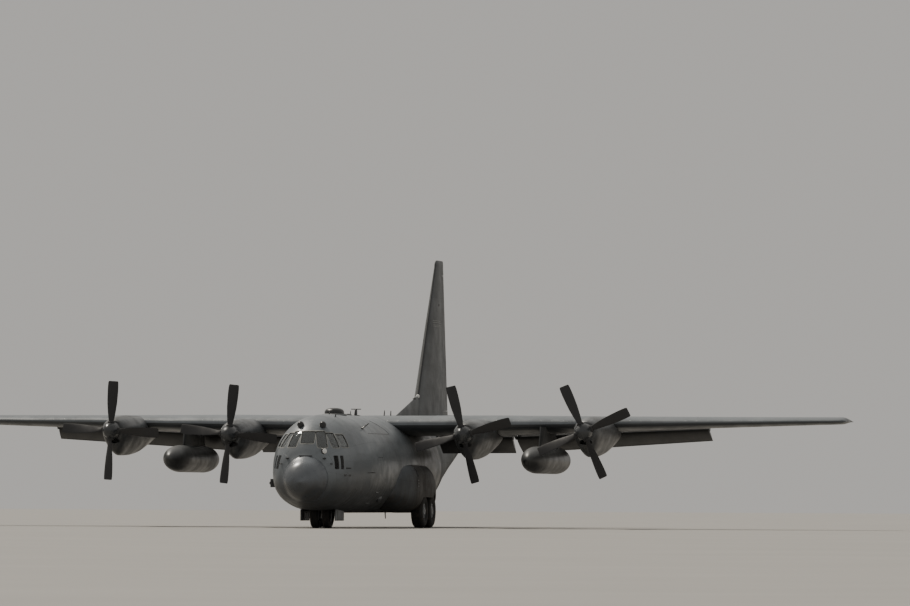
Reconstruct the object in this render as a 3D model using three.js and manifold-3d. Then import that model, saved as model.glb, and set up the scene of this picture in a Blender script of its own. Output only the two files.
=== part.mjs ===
// Four-engined high-wing military transport plane, parked on its landing gear, as a 1:2 scale model
// Sizes are those of the full-size aircraft in millimetres, and the root group halves them
// +X is the port side, +Y runs aft from the nose tip, +Z is up from the ground under the tyres
import * as THREE from 'three';
import { mergeVertices } from 'three/addons/utils/BufferGeometryUtils.js';
import Module from 'manifold-3d';

const wasm = await Module();
wasm.setup();

// Scale, gaps and walls
const MODEL_SCALE = 0.5;
const SEAT_GAP = 0.6;
const RUNNING_GAP = 14;
const BODY_WALL = 100;
const OVERLAP = 50;

// Whole aircraft
const LENGTH = 29790;
const HALF_SPAN = 20205;
const FIN_TOP = 11660;

// Fuselage breaks, floor and hold
const RADOME_END = 1000;
const NOSE_END = 6200;
const CENTRE_END = 17700;
const FLOOR_TOP = 1030;
const FLOOR_THICK = 100;
const FLOOR_START = 5020;
const RING_SIDES = 28;

// Fuselage rows: station, half width, top, bottom, height of the widest point, fullness of the lower half
const BODY_ROWS = [
  [0, 20, 1870, 1830, 1850, 2],
  [120, 400, 2190, 1480, 1850, 2],
  [450, 720, 2600, 1200, 1910, 2],
  [1000, 950, 2920, 1030, 1975, 2],
  [1150, 1140, 3200, 970, 2000, 2],
  [1400, 1330, 3600, 900, 2050, 2.1],
  [1750, 1480, 3980, 840, 2120, 2.2],
  [2200, 1610, 4240, 790, 2200, 2.3],
  [2800, 1755, 4450, 745, 2300, 2.35],
  [3500, 1905, 4580, 705, 2380, 2.4],
  [4300, 2080, 4630, 670, 2440, 2.5],
  [5400, 2150, 4650, 630, 2480, 2.5],
  [6200, 2160, 4650, 620, 2490, 2.5],
  [15500, 2160, 4650, 620, 2490, 2.5],
  [17700, 2140, 4650, 630, 2500, 2.15],
  [19200, 2050, 4652, 1180, 2700, 2],
  [20800, 1940, 4660, 1750, 2950, 2],
  [23200, 1740, 4680, 2450, 3300, 2.1],
  [26200, 1360, 4700, 3060, 3760, 2.2],
  [28300, 720, 4640, 3680, 4150, 2],
  [29790, 160, 4480, 4180, 4330, 2],
];

// Flight deck
const DECK_TOP = 2300;
const DECK_THICK = 80;
const DECK_FRONT = 1350;
const DECK_REAR = 4940;
const PANEL_FRONT = 1990;
const PANEL_REAR = 2130;
const PANEL_TOP = 3150;
const SEAT = { x: 620, y: 2850, half: 240, front: 220, rear: 260, top: 2760 };
const SEAT_BACK = { half: 230, front: 150, rear: 270, low: 2750, top: 3480 };
const DECK_WALL = { thick: 60, low: 700 };
const WELL_CLEARANCE = 45;
const GLASS_THICK = 30;
const GLASS_FRONT = 1200;
const GLASS_REAR = 3000;
const GLASS_LOW = 3170;
const FOOT_GLASS_REAR = 1960;
const FOOT_GLASS_LOW = 2340;
// Windscreen panes: middle across and along, turn in degrees, width, lower edge, upper edge
const PANES = [
  [0, 1450, 0, 560, 3420, 3920],
  [545, 1530, 24, 410, 3260, 3920],
  [930, 1820, 52, 390, 3260, 3860],
  [1200, 2300, 67.6, 530, 3280, 3800],
];
const PANE_OUT = 700;
const PANE_IN = 480;
// Foot windows: station and height of the centre, length, height
const FOOT_WINDOWS = [
  [1400, 2660, 200, 560],
  [1680, 2660, 200, 560],
];

// Crew door, paratroop doors, ramp and cargo door
const CREW_DOOR = { front: 5180, rear: 5990, low: 1040, high: 2880 };
const PARATROOP_DOOR = { front: 16550, rear: 17480, low: 1035, high: 2900 };
const DOOR_PIN = { radius: 9, below: 4, inset: 14 };
const RAMP = { rear: 20760, half: 1400, hingeZ: 655, rearTop: 2050, knuckles: 300 };
const CARGO_DOOR = { rear: 26250, half: 1060, top: 3530, frontTop: 2400, hingeY: 26215, hingeZ: 3360, rearGap: 38 };

// The edges of the ramp and the cargo door lean forward from this height, so that each clears the other alone
const RAMP_LEAN = 0.55;
const RAMP_LEAN_FROM = 1740;

// Wing: quarter chord line, sections at the centre line, the joint and the tip
const WING_QUARTER_Y = 13420;
const WING_JOINT = 5590;
const WING_ROOT = { along: 0, chord: 4880, z: 4210, thick: 0.175, twist: 3 };
const WING_BREAK = { along: WING_JOINT, chord: 4880, z: 4250, thick: 0.173, twist: 3 };
const WING_TIP = { along: HALF_SPAN - 260, chord: 2510, z: 4500, thick: 0.12, twist: 0 };
const TIP_STEPS = [[150, 0.8], [260, 0.3]];
const TIP_TRIM = 260;
const CAMBER = 0.014;
const EDGE_HALF = 9;
const COVE_STEP = 23;
const COVE_FRACTION = 0.742;
const SHROUD_FRACTION = 0.865;
const FLAP_FRACTION = 0.762;
const FLAP_THICK = 0.15;
const FLAP_DOWN = 36;
const FLAP_PIVOT_AHEAD = 150;
const FLAP_PIVOT_BELOW = 600;
const FLAP_PIN_BACK = 0.019;
const TRACK_RIB_THICK = 44;
// Outline of a track rib: from the pin with the flap up or down, distance aft, distance up
const TRACK_RIB_POINTS = [
  ['up', -160, 30],
  ['down', 110, 330],
  ['down', 70, -10],
  ['down', 20, -70],
  ['down', -60, -70],
  ['up', -160, -70],
];
// Flaps: name, inboard end, outboard end
const FLAPS = [
  ['flap_inner', 2330, 5500],
  ['flap_outer', 5680, 14020],
];
const AILERON = { inner: 14260, outer: 19560, hinge: 0.765 };

// Tail
const STAB_ROOT = { along: 0, lead: 24750, chord: 4150, z: 4640, thick: 0.115, hinge: 0.615 };
const STAB_TIP = { along: 7900, lead: 25780, chord: 2050, z: 4700, thick: 0.1, hinge: 0.74 };
const STAB_HALF_SPAN = 8025;
const ELEVATOR = { inner: 1080, outer: 7560 };
const FIN_ROOT = { along: 4500, lead: 22200, chord: 7300, thick: 0.1, hinge: 0.775 };
const FIN_TIP = { along: 11350, lead: 26560, chord: 1720, thick: 0.11, hinge: 0.65 };
const RUDDER = { low: 5060, high: 11000 };
const DORSAL = { front: 18000, edge: 20, low: 4500, rear: 23800, half: 150 };
const DORSAL_TOPS = [4660, 5850];
const DORSAL_SHOULDER = { share: 0.7, drop: 60 };
const FIN_CAP = { inset: 260, chord: 1330, thick: 0.05 };
const STAB_CAP = { inset: 160, chord: 1700, thick: 0.04 };
const AFT_HOLLOW_END = 28000;

// Power plants
const NACELLES = [
  // number, side, offset from the centre line, hub height, propeller turn in the front view
  [1, 1, 10000, 3990, -24],
  [2, 1, 4950, 3860, -15],
  [3, -1, 4950, 3860, 6],
  [4, -1, 10000, 3990, 3],
];
const PROP_Y = 8500;
const NACELLE_SIDES = 20;
// Nacelle rows: station, half width, top and bottom against the hub, height of the widest point
const NACELLE_ROWS = [
  [8960, 440, 420, -560, 60],
  [9250, 540, 520, -860, 70],
  [9900, 610, 610, -1030, 80],
  [11200, 640, 660, -1010, 80],
  [12600, 640, 660, -900, 60],
  [13900, 570, 560, -660, 20],
  [15000, 400, 380, -420, -20],
  [15550, 290, 220, -330, -60],
];
const ENGINE = { front: 9400, rear: 12200, half: 300, low: -330, high: 250, shaft: 95 };
const INTAKE = { rear: 9560, half: 250, low: -520, high: -330 };
const EXHAUST = { front: 14500, rear: 15700, radius: 200, duct: 120, below: 90 };
const LINK_DROP = 120;
const SPINNER_PROFILE = [[0, -520], [110, -500], [230, -380], [310, -180], [350, 60], [350, 390], [0, 390]];
// Blade sections: radius, chord, thickness, pitch in degrees
const BLADE_ROWS = [
  [180, 260, 190, 60],
  [520, 330, 110, 50],
  [1100, 430, 60, 36],
  [1700, 450, 36, 27],
  [2055, 400, 20, 22],
];
const BLADES = 4;

// Wing tanks
const TANK = { x: 7600, y: 12900, z: 2840, radius: 565, length: 7900, cylinder: 3900 };
const PYLON = { front: 11300, rear: 15450, half: 110, bottom: 3150, top: 4230, slope: 350 };

// Landing gear
const NOSE_WHEEL = { y: 4100, x: 255, radius: 495, width: 320, hub: 230 };
const MAIN_WHEEL = { y: [13100, 14700], x: 2175, radius: 710, width: 500, hub: 300 };
const MAIN_WELL = { around: 80, side: 35, inner: 50, top: 1430 };
const LEG = { x: 1868, radius: 45 };
const WHEEL_SIDES = 24;
const PIN_SIDES = 10;
const PIN_RADIUS = 24;
const PIN_ROOT = 60;
const AXLE_RADIUS = 60;
const BORE_RADIUS = 62;
const NOSE_WELL = { half: 690, front: 3320, rear: 5000, low: 500, top: 1650, wall: 40 };
const NOSE_STRUT = { radius: 105, foot: 1080, forkRadius: 80, braceHalf: 60, braceLow: 1480, braceTop: 1560 };
const NOSE_LEAF = { gap: 8, thick: 40, inset: 60, low: 300, top: 760 };
const SPONSON_ROWS = [
  // station, outer edge, top, bottom
  [8400, 1950, 1900, 1200],
  [9000, 2220, 2400, 950],
  [10000, 2400, 2740, 760],
  [11400, 2480, 2780, 640],
  [13200, 2480, 2780, 620],
  [14400, 2480, 2740, 620],
  [15300, 2420, 2450, 660],
  [16100, 2190, 1980, 820],
  [16700, 1850, 1550, 1100],
];
const SPONSON_INNER = 1200;
const SPONSON_FULLNESS = 0.62;
const SPONSON_HULL_END = 20000;

// Colours
const PAINT = { color: 0x6f757b, roughness: 0.62, metalness: 0.1 };
const PAINT_DARK = { color: 0x5a6067, roughness: 0.65, metalness: 0.1 };
const RADOME_PAINT = { color: 0x5d636a, roughness: 0.5, metalness: 0 };
const GLASS = { color: 0x1c2624, roughness: 0.12, metalness: 0 };
const RUBBER = { color: 0x1d1d1c, roughness: 0.85, metalness: 0 };
const STEEL = { color: 0xa5a8aa, roughness: 0.4, metalness: 0.7 };
const HUB_PAINT = { color: 0xb9bbb6, roughness: 0.5, metalness: 0.2 };
const PROP_PAINT = { color: 0x2f3234, roughness: 0.5, metalness: 0.2 };
const CABIN = { color: 0x55585a, roughness: 0.8, metalness: 0 };
const CAST = { color: 0x3a3a3a, roughness: 0.7, metalness: 0.5 };

const BODY_STATIONS = BODY_ROWS.map((row) => row[0]);
const INNER_FIRST = 450;
const INNER_LAST = 28300;
const WIDE = 6000;
const radians = THREE.MathUtils.degToRad;
const aircraft = new THREE.Group();
aircraft.scale.setScalar(MODEL_SCALE);
aircraft.position.y = -LENGTH * MODEL_SCALE / 2;

// Solids and booleans

function solidOf(geometry) {
  const bare = geometry.clone();
  bare.deleteAttribute('normal');
  bare.deleteAttribute('uv');
  const merged = mergeVertices(bare, 0.001);
  return new wasm.Manifold(new wasm.Mesh({
    numProp: 3,
    vertProperties: new Float32Array(merged.attributes.position.array),
    triVerts: new Uint32Array(merged.index.array),
  }));
}

function geometryOf(solid) {
  const result = solid.getMesh();
  const geometry = new THREE.BufferGeometry();
  geometry.setAttribute('position', new THREE.BufferAttribute(new Float32Array(result.vertProperties), 3));
  geometry.setIndex(new THREE.BufferAttribute(new Uint32Array(result.triVerts), 1));
  return geometry;
}

function join(first, ...others) {
  return geometryOf(others.reduce((sum, other) => sum.add(solidOf(other)), solidOf(first)));
}

function cut(first, ...others) {
  return geometryOf(others.reduce((rest, other) => rest.subtract(solidOf(other)), solidOf(first)));
}

function common(first, second) {
  return geometryOf(solidOf(first).intersect(solidOf(second)));
}

function mirrored(geometry) {
  const copy = geometry.clone().scale(-1, 1, 1);
  const index = Array.from(copy.index.array);
  for (let i = 0; i < index.length; i += 3) {
    [index[i], index[i + 1]] = [index[i + 1], index[i]];
  }
  copy.setIndex(index);
  return copy;
}

function onSide(geometry, sign) {
  return sign > 0 ? geometry : mirrored(geometry);
}

function block(x0, x1, y0, y1, z0, z1) {
  const box = new THREE.BoxGeometry(x1 - x0, y1 - y0, z1 - z0);
  return box.translate((x0 + x1) / 2, (y0 + y1) / 2, (z0 + z1) / 2);
}

// A cylinder along x, y or z between two places on that axis
function rod(axis, radius, from, to, centre, sides = 24) {
  const geometry = new THREE.CylinderGeometry(radius, radius, to - from, sides);
  const middle = (from + to) / 2;
  if (axis === 'x') {
    return geometry.rotateZ(-Math.PI / 2).translate(middle, centre[0], centre[1]);
  }
  if (axis === 'z') {
    return geometry.rotateX(Math.PI / 2).translate(centre[0], centre[1], middle);
  }
  return geometry.translate(centre[0], middle, centre[1]);
}

// A shape drawn in the side plane (y, z) and extruded across the aircraft
function sidePrism(points, x0, x1) {
  const rings = [x0, x1].map((x) => points.map(([y, z]) => new THREE.Vector3(x, y, z)));
  return loft(rings);
}

function ringNormal(ring) {
  const normal = new THREE.Vector3();
  ring.forEach((point, i) => {
    const next = ring[(i + 1) % ring.length];
    normal.x += (point.y - next.y) * (point.z + next.z);
    normal.y += (point.z - next.z) * (point.x + next.x);
    normal.z += (point.x - next.x) * (point.y + next.y);
  });
  return normal.normalize();
}

function capOf(ring, offset, outward) {
  const normal = ringNormal(ring);
  const size = [Math.abs(normal.x), Math.abs(normal.y), Math.abs(normal.z)];
  const drop = size.indexOf(Math.max(...size));
  const flat = ring.map((p) => new THREE.Vector2(...p.toArray().filter((_, axis) => axis !== drop)));
  const faces = THREE.ShapeUtils.triangulateShape(flat, []);
  const index = [];
  for (const [a, b, c] of faces) {
    const ab = ring[b].clone().sub(ring[a]);
    const ac = ring[c].clone().sub(ring[a]);
    const ahead = ab.cross(ac).dot(normal) > 0;
    index.push(...(ahead === outward ? [a, b, c] : [a, c, b]).map((i) => i + offset));
  }
  return index;
}

// A closed body through rings of the same number of points, its starboard faces split as the port ones
function loft(rings) {
  const count = rings[0].length;
  const index = [];
  const points = rings.flat();
  for (let i = 0; i < rings.length - 1; i += 1) {
    for (let j = 0; j < count; j += 1) {
      const a = i * count + j;
      const b = i * count + (j + 1) % count;
      const across = points[a].x + points[b].x + points[a + count].x + points[b + count].x;
      const faces = across < 0
        ? [a, b, a + count, b, b + count, a + count]
        : [a, b, b + count, a, b + count, a + count];
      index.push(...faces);
    }
  }
  index.push(...capOf(rings[0], 0, false));
  index.push(...capOf(rings[rings.length - 1], (rings.length - 1) * count, true));
  let volume = 0;
  for (let i = 0; i < index.length; i += 3) {
    const [a, b, c] = [points[index[i]], points[index[i + 1]], points[index[i + 2]]];
    volume += a.dot(b.clone().cross(c));
  }
  if (volume < 0) {
    index.reverse();
  }
  const geometry = new THREE.BufferGeometry();
  geometry.setAttribute('position', new THREE.Float32BufferAttribute(points.flatMap((p) => p.toArray()), 3));
  geometry.setIndex(index);
  return geometry;
}

function addPiece(name, geometry, look, parent = aircraft) {
  geometry.computeVertexNormals();
  const piece = new THREE.Mesh(geometry, new THREE.MeshStandardMaterial(look));
  piece.name = name;
  parent.add(piece);
  return piece;
}

// A piece that turns: its group stands on the hinge, with local x along the axis
function addTurning(name, geometry, look, hinge, restDegrees = 0) {
  const pivot = new THREE.Group();
  pivot.name = `${name}_pivot`;
  pivot.userData.axis = hinge.axis.clone().normalize();
  pivot.position.copy(hinge.at);
  pivot.quaternion.setFromAxisAngle(pivot.userData.axis, radians(restDegrees));
  aircraft.add(pivot);
  const piece = addPiece(name, geometry, look, pivot);
  piece.position.copy(hinge.at).negate();
  return piece;
}

// Fuselage

function slopeAt(rows, i, column) {
  if (i === 0 || i === rows.length - 1) {
    return null;
  }
  const before = (rows[i][column] - rows[i - 1][column]) / (rows[i][0] - rows[i - 1][0]);
  const after = (rows[i + 1][column] - rows[i][column]) / (rows[i + 1][0] - rows[i][0]);
  return before * after <= 0 ? 0 : 2 * before * after / (before + after);
}

// Smooth values between the rows, without overshoot
function rowAt(rows, y) {
  let i = rows.findIndex((row) => row[0] >= y);
  i = Math.max(1, i < 0 ? rows.length - 1 : i);
  const [low, high] = [rows[i - 1], rows[i]];
  const span = high[0] - low[0];
  const t = (y - low[0]) / span;
  return low.slice(1).map((start, k) => {
    const end = high[k + 1];
    const chord = (end - start) / span;
    const a = (slopeAt(rows, i - 1, k + 1) ?? chord) * span;
    const b = (slopeAt(rows, i, k + 1) ?? chord) * span;
    const [t2, t3] = [t * t, t * t * t];
    return (2 * t3 - 3 * t2 + 1) * start + (t3 - 2 * t2 + t) * a + (3 * t2 - 2 * t3) * end + (t3 - t2) * b;
  });
}

function smoothRing(y, inset) {
  const [half, top, bottom, mid, fullness] = rowAt(BODY_ROWS, y);
  const ring = [];
  for (let i = 0; i < RING_SIDES; i += 1) {
    const angle = i / RING_SIDES * 2 * Math.PI;
    const [s, c] = [Math.sin(angle), Math.cos(angle)];
    const power = c >= -1e-9 ? 1 : 2 / fullness;
    const reach = c >= -1e-9 ? top - mid - inset : mid - bottom - inset;
    const x = (half - inset) * Math.sign(s) * Math.abs(s) ** power;
    ring.push(new THREE.Vector3(x, y, mid + reach * Math.sign(c) * Math.abs(c) ** power));
  }
  return ring;
}

// Every loft of the body is cut from a whole one, so that the faces of two of them agree
function wholeBody(inset) {
  const stations = BODY_STATIONS.filter((y) => inset <= 0 || (y >= INNER_FIRST && y <= INNER_LAST));
  return loft(stations.map((y) => smoothRing(y, inset)));
}

function bodyLoft(from, to, inset = 0) {
  return common(wholeBody(inset), block(-WIDE, WIDE, from, to, 0, WIDE));
}

function bodyHalfWidth(y, z) {
  const [half, top, bottom, mid, fullness] = rowAt(BODY_ROWS, y);
  const upper = z > mid;
  const depth = Math.abs(z - mid) / (upper ? top - mid : mid - bottom);
  const power = upper ? 2 : fullness;
  return half * (1 - depth ** power) ** (1 / power);
}

// Wings and tail surfaces

function halfThickness(f, thick) {
  const polynomial = 0.2969 * Math.sqrt(f) - 0.126 * f - 0.3516 * f ** 2 + 0.2843 * f ** 3 - 0.1036 * f ** 4;
  return 5 * thick * polynomial;
}

function mix(a, b, t) {
  return a + (b - a) * t;
}

function sectionBetween(low, high, along) {
  const t = (along - low.along) / (high.along - low.along);
  const section = {};
  for (const key of Object.keys(low)) {
    section[key] = mix(low[key], high[key], t);
  }
  section.along = along;
  return section;
}

function wingSection(x) {
  const ends = x <= WING_JOINT ? [WING_ROOT, WING_BREAK] : [WING_BREAK, WING_TIP];
  const section = sectionBetween(...ends, x);
  section.lead = WING_QUARTER_Y - section.chord / 4;
  section.camber = CAMBER;
  return section;
}

// Place on a section: chord fraction, side (1 upper, -1 lower, 0 middle) and a distance outwards
function surfacePoint(section, f, side, extra = 0) {
  const twist = Math.tan(radians(section.twist ?? 0));
  const bow = 4 * (section.camber ?? 0) * f * (1 - f);
  const half = Math.max(halfThickness(Math.min(Math.max(f, 0), 1), section.thick) * section.chord, EDGE_HALF);
  const y = section.lead + f * section.chord;
  const z = (section.z ?? 0) + (0.25 - f) * section.chord * twist + bow * section.chord + side * (half + extra);
  return [y, z];
}

const CHORD_STEPS = [0, 0.012, 0.05, 0.12, 0.22, 0.36, 0.52, 0.7, 0.86, 1];

function wholeSection(section, extra = 0) {
  const nose = [section.lead - extra, surfacePoint(section, 0, 0)[1]];
  const upper = CHORD_STEPS.slice(1).map((f) => surfacePoint(section, f, 1, extra));
  const lower = CHORD_STEPS.slice(1).map((f) => surfacePoint(section, f, -1, extra));
  upper[upper.length - 1][0] += extra;
  lower[lower.length - 1][0] += extra;
  return [...upper.reverse(), nose, ...lower];
}

function flatRing(points, along) {
  return points.map(([y, z]) => new THREE.Vector3(along, y, z));
}

// A ring whose plane is square to a hinge that runs through it
function squareRing(points, along, hinge) {
  const [, s, v] = hinge.axis.clone().divideScalar(hinge.axis.x).toArray();
  const at = hingePoint(hinge, along);
  return points.map(([y, z]) => new THREE.Vector3(along - s * (y - at.y) - v * (z - at.z), y, z));
}

function hingePoint(hinge, along) {
  return hinge.at.clone().addScaledVector(hinge.axis, (along - hinge.at.x) / hinge.axis.x);
}

function lineHinge(pointAt, from, to) {
  const [start, end] = [from, to].map((along) => new THREE.Vector3(along, ...pointAt(along)));
  return { at: start.clone().lerp(end, 0.5), axis: end.clone().sub(start).normalize() };
}

// The rear part of a section with a round nose about its hinge
function controlSection(section, f) {
  const hinge = surfacePoint(section, f, 0);
  const radius = surfacePoint(section, f, 1)[1] - hinge[1] - 4;
  const steps = [0.25, 0.5, 0.75, 1].map((t) => mix(f, 1, t));
  const upper = steps.map((g) => surfacePoint(section, g, 1, -3));
  const lower = steps.map((g) => surfacePoint(section, g, -1, -3));
  const nose = [90, 126, 162, 198, 234, 270].map((angle) => [
    hinge[0] + radius * Math.cos(radians(angle)),
    hinge[1] + radius * Math.sin(radians(angle)),
  ]);
  return [...upper.reverse(), ...nose, ...lower];
}

// What is cut out of a surface for its control: everything behind a hollow round the hinge
function controlCove(section, f) {
  const hinge = surfacePoint(section, f, 0);
  const radius = surfacePoint(section, f, 1)[1] - hinge[1] + RUNNING_GAP - 4;
  const far = section.chord * (1 - f) + 200;
  const corner = radius / Math.cos(radians(COVE_STEP / 2));
  const angles = [-3, -2, -1, 0, 1, 2, 3].map((step) => radians(180 + step * COVE_STEP));
  const hollow = angles.map((angle) => [
    hinge[0] + corner * Math.cos(angle),
    hinge[1] - corner * Math.sin(angle),
  ]);
  const top = hollow[hollow.length - 1][0];
  const clear = radius + 300;
  return [[hinge[0] + far, hinge[1] + clear], [top, hinge[1] + clear], ...hollow.reverse(),
    [top, hinge[1] - clear], [hinge[0] + far, hinge[1] - clear]];
}

function flapNose(section) {
  const length = section.chord * (1 - FLAP_FRACTION);
  const [y, low] = surfacePoint(section, FLAP_FRACTION, -1);
  return [y, low + FLAP_THICK * length / 2];
}

function flapSection(section) {
  const [noseY, noseZ] = flapNose(section);
  const [tailY, tailZ] = surfacePoint(section, 1, 0);
  const length = tailY - noseY;
  const point = (f, side) => {
    const half = Math.max(halfThickness(f, FLAP_THICK) * length, EDGE_HALF);
    return [mix(noseY, tailY, f), mix(noseZ, tailZ, f) + side * half];
  };
  const steps = [0.03, 0.12, 0.3, 0.55, 0.8, 1];
  return [...steps.map((f) => point(f, 1)).reverse(), [noseY, noseZ], ...steps.map((f) => point(f, -1))];
}

// Where the pin of a flap stands on one of its ends, with the flap up
function flapPin(x, hinge) {
  const section = wingSection(x);
  const [noseY, noseZ] = flapNose(section);
  const y = noseY + FLAP_PIN_BACK * section.chord;
  const [point] = squareRing([[y, noseZ]], x, hinge);
  return point;
}

// The track rib beside a flap's end, which covers the pin from flap up to flap down
function trackRib(x, step, hinge) {
  const outline = (along) => {
    const share = wingSection(along).chord / WING_ROOT.chord;
    const up = flapPin(along, hinge);
    const pivot = hingePoint(hinge, along);
    const down = up.clone().sub(pivot).applyAxisAngle(hinge.axis, radians(-FLAP_DOWN)).add(pivot);
    const pins = { up, down };
    return TRACK_RIB_POINTS.map(([pinPlace, y, z]) => [pins[pinPlace].y + y * share, pins[pinPlace].z + z * share]);
  };
  const near = x + step * RUNNING_GAP;
  const far = near + step * TRACK_RIB_THICK;
  return hingedStrip(outline, Math.min(near, far), Math.max(near, far), hinge);
}

function flapCove(section) {
  const [coveY, coveLow] = surfacePoint(section, COVE_FRACTION, -1, 60);
  const coveTop = surfacePoint(section, COVE_FRACTION, 1, -60)[1];
  const [lipY, lipLow] = surfacePoint(section, SHROUD_FRACTION, 1, -28);
  const lipTop = surfacePoint(section, SHROUD_FRACTION, 1, 80)[1];
  const endY = section.lead + section.chord * 1.06;
  return [[coveY, coveTop], [lipY, lipLow], [lipY, lipTop], [endY, lipTop], [endY, coveLow - 250], [coveY, coveLow]];
}

function flapHinge(from, to) {
  return lineHinge((x) => {
    const section = wingSection(x);
    const share = section.chord / WING_ROOT.chord;
    const [y, z] = flapNose(section);
    return [y - FLAP_PIVOT_AHEAD * share, z - FLAP_PIVOT_BELOW * share];
  }, from, to);
}

function hingedStrip(pointsAt, from, to, hinge) {
  return loft([from, to].map((along) => squareRing(pointsAt(along), along, hinge)));
}

// A round pin along a direction between two points
function pin(radius, start, end) {
  const length = start.distanceTo(end);
  const turn = new THREE.Quaternion().setFromUnitVectors(
    new THREE.Vector3(0, 1, 0), end.clone().sub(start).normalize());
  const geometry = new THREE.CylinderGeometry(radius, radius, length, PIN_SIDES).applyQuaternion(turn);
  return geometry.translate(...start.clone().lerp(end, 0.5).toArray());
}

// The same strip with a pin at each end that reaches across the running gap
function pinnedStrip(strip, hinge, [start, end]) {
  const reach = RUNNING_GAP - SEAT_GAP;
  const beside = (place, distance) => place.clone().addScaledVector(hinge.axis, distance);
  const first = pin(PIN_RADIUS, beside(start, -reach), beside(start, PIN_ROOT));
  const last = pin(PIN_RADIUS, beside(end, -PIN_ROOT), beside(end, reach));
  return join(strip, first, last);
}

// Wing pieces

// The port outer wing with its rounded tip, before its control surfaces are cut out
function outerWingLoft(extra = 0) {
  const tip = WING_TIP.along;
  const root = WING_JOINT + SEAT_GAP / 2 - extra;
  const rings = [root, tip].map((x) => flatRing(wholeSection(wingSection(x), extra), x));
  for (const [out, share] of TIP_STEPS) {
    const section = wingSection(tip);
    section.thick *= share;
    section.lead += (1 - share) * TIP_TRIM;
    section.chord -= (1 - share) * TIP_TRIM * 2;
    rings.push(flatRing(wholeSection(section, extra), tip + out));
  }
  return loft(rings);
}

// The centre section runs through the roof of the fuselage
function wingCentreLoft(extra = 0) {
  const end = WING_JOINT - SEAT_GAP / 2 + extra;
  return loft([-end, 0, end].map((x) => flatRing(wholeSection(wingSection(Math.abs(x)), extra), x)));
}

function flapCut(from, to, hinge) {
  const [start, end] = [from - RUNNING_GAP, to + RUNNING_GAP];
  return hingedStrip((x) => flapCove(wingSection(x)), start, end, hinge);
}

function addWing() {
  const hinges = FLAPS.map(([, from, to]) => flapHinge(from, to));
  const innerCut = flapCut(FLAPS[0][1], FLAPS[0][2], hinges[0]);
  const innerRibs = join(trackRib(FLAPS[0][1], -1, hinges[0]), trackRib(FLAPS[0][2], 1, hinges[0]));
  const centre = join(cut(wingCentreLoft(), innerCut, mirrored(innerCut)), innerRibs, mirrored(innerRibs));
  addPiece('centre_wing', centre, PAINT);

  const aileronHinge = lineHinge((x) => surfacePoint(wingSection(x), AILERON.hinge, 0), AILERON.inner, AILERON.outer);
  const aileronCut = hingedStrip(
    (x) => controlCove(wingSection(x), AILERON.hinge),
    AILERON.inner - RUNNING_GAP,
    AILERON.outer + RUNNING_GAP,
    aileronHinge,
  );
  const outer = join(
    cut(outerWingLoft(), flapCut(FLAPS[1][1], FLAPS[1][2], hinges[1]), aileronCut),
    trackRib(FLAPS[1][1], -1, hinges[1]),
    trackRib(FLAPS[1][2], 1, hinges[1]),
  );
  const strip = hingedStrip(
    (x) => controlSection(wingSection(x), AILERON.hinge),
    AILERON.inner,
    AILERON.outer,
    aileronHinge,
  );
  const ends = [AILERON.inner, AILERON.outer].map((x) => hingePoint(aileronHinge, x));
  const aileron = pinnedStrip(strip, aileronHinge, ends);
  for (const [side, sign] of [['port', 1], ['starboard', -1]]) {
    addPiece(`outer_wing_${side}`, onSide(outer, sign), PAINT);
    addTurning(`aileron_${side}`, onSide(aileron, sign), PAINT, onSideHinge(aileronHinge, sign));
    FLAPS.forEach(([name, from, to], i) => {
      const flapStrip = hingedStrip((x) => flapSection(wingSection(x)), from, to, hinges[i]);
      const flap = pinnedStrip(flapStrip, hinges[i], [from, to].map((x) => flapPin(x, hinges[i])));
      const hinge = onSideHinge(hinges[i], sign);
      addTurning(`${name}_${side}`, onSide(flap, sign), PAINT_DARK, hinge, -FLAP_DOWN);
    });
  }
}

// A mirrored hinge keeps its axis pointing to port
function onSideHinge(hinge, sign) {
  return {
    at: new THREE.Vector3(sign * hinge.at.x, hinge.at.y, hinge.at.z),
    axis: new THREE.Vector3(hinge.axis.x, sign * hinge.axis.y, sign * hinge.axis.z),
  };
}

// Tail

function stabSection(x) {
  return sectionBetween(STAB_ROOT, STAB_TIP, x);
}

function stabLoft(extra = 0) {
  const { inset, chord, thick } = STAB_CAP;
  const end = { ...STAB_TIP, along: STAB_HALF_SPAN, thick, lead: STAB_TIP.lead + inset, chord };
  const right = [stabSection(0), STAB_TIP, end];
  const rings = [...right.slice(1).reverse().map((s) => ({ ...s, along: -s.along })), ...right];
  return loft(rings.map((s) => flatRing(wholeSection(s, extra), s.along)));
}

function addTailplane() {
  const hinge = lineHinge((x) => {
    const section = stabSection(x);
    return surfacePoint(section, section.hinge, 0);
  }, ELEVATOR.inner, ELEVATOR.outer);
  const strip = (build, from, to) => hingedStrip((x) => {
    const section = stabSection(x);
    return build(section, section.hinge);
  }, from, to, hinge);
  const cove = strip(controlCove, ELEVATOR.inner - RUNNING_GAP, ELEVATOR.outer + RUNNING_GAP);
  addPiece('tailplane', cut(stabLoft(), cove, mirrored(cove)), PAINT);
  const ends = [ELEVATOR.inner, ELEVATOR.outer].map((x) => hingePoint(hinge, x));
  const elevator = pinnedStrip(strip(controlSection, ELEVATOR.inner, ELEVATOR.outer), hinge, ends);
  for (const [side, sign] of [['port', 1], ['starboard', -1]]) {
    addTurning(`elevator_${side}`, onSide(elevator, sign), PAINT, onSideHinge(hinge, sign));
  }
}

function uprightRing(points, height) {
  return points.map(([y, across]) => new THREE.Vector3(across, y, height));
}

function finSection(z) {
  return sectionBetween(FIN_ROOT, FIN_TIP, z);
}

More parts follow.
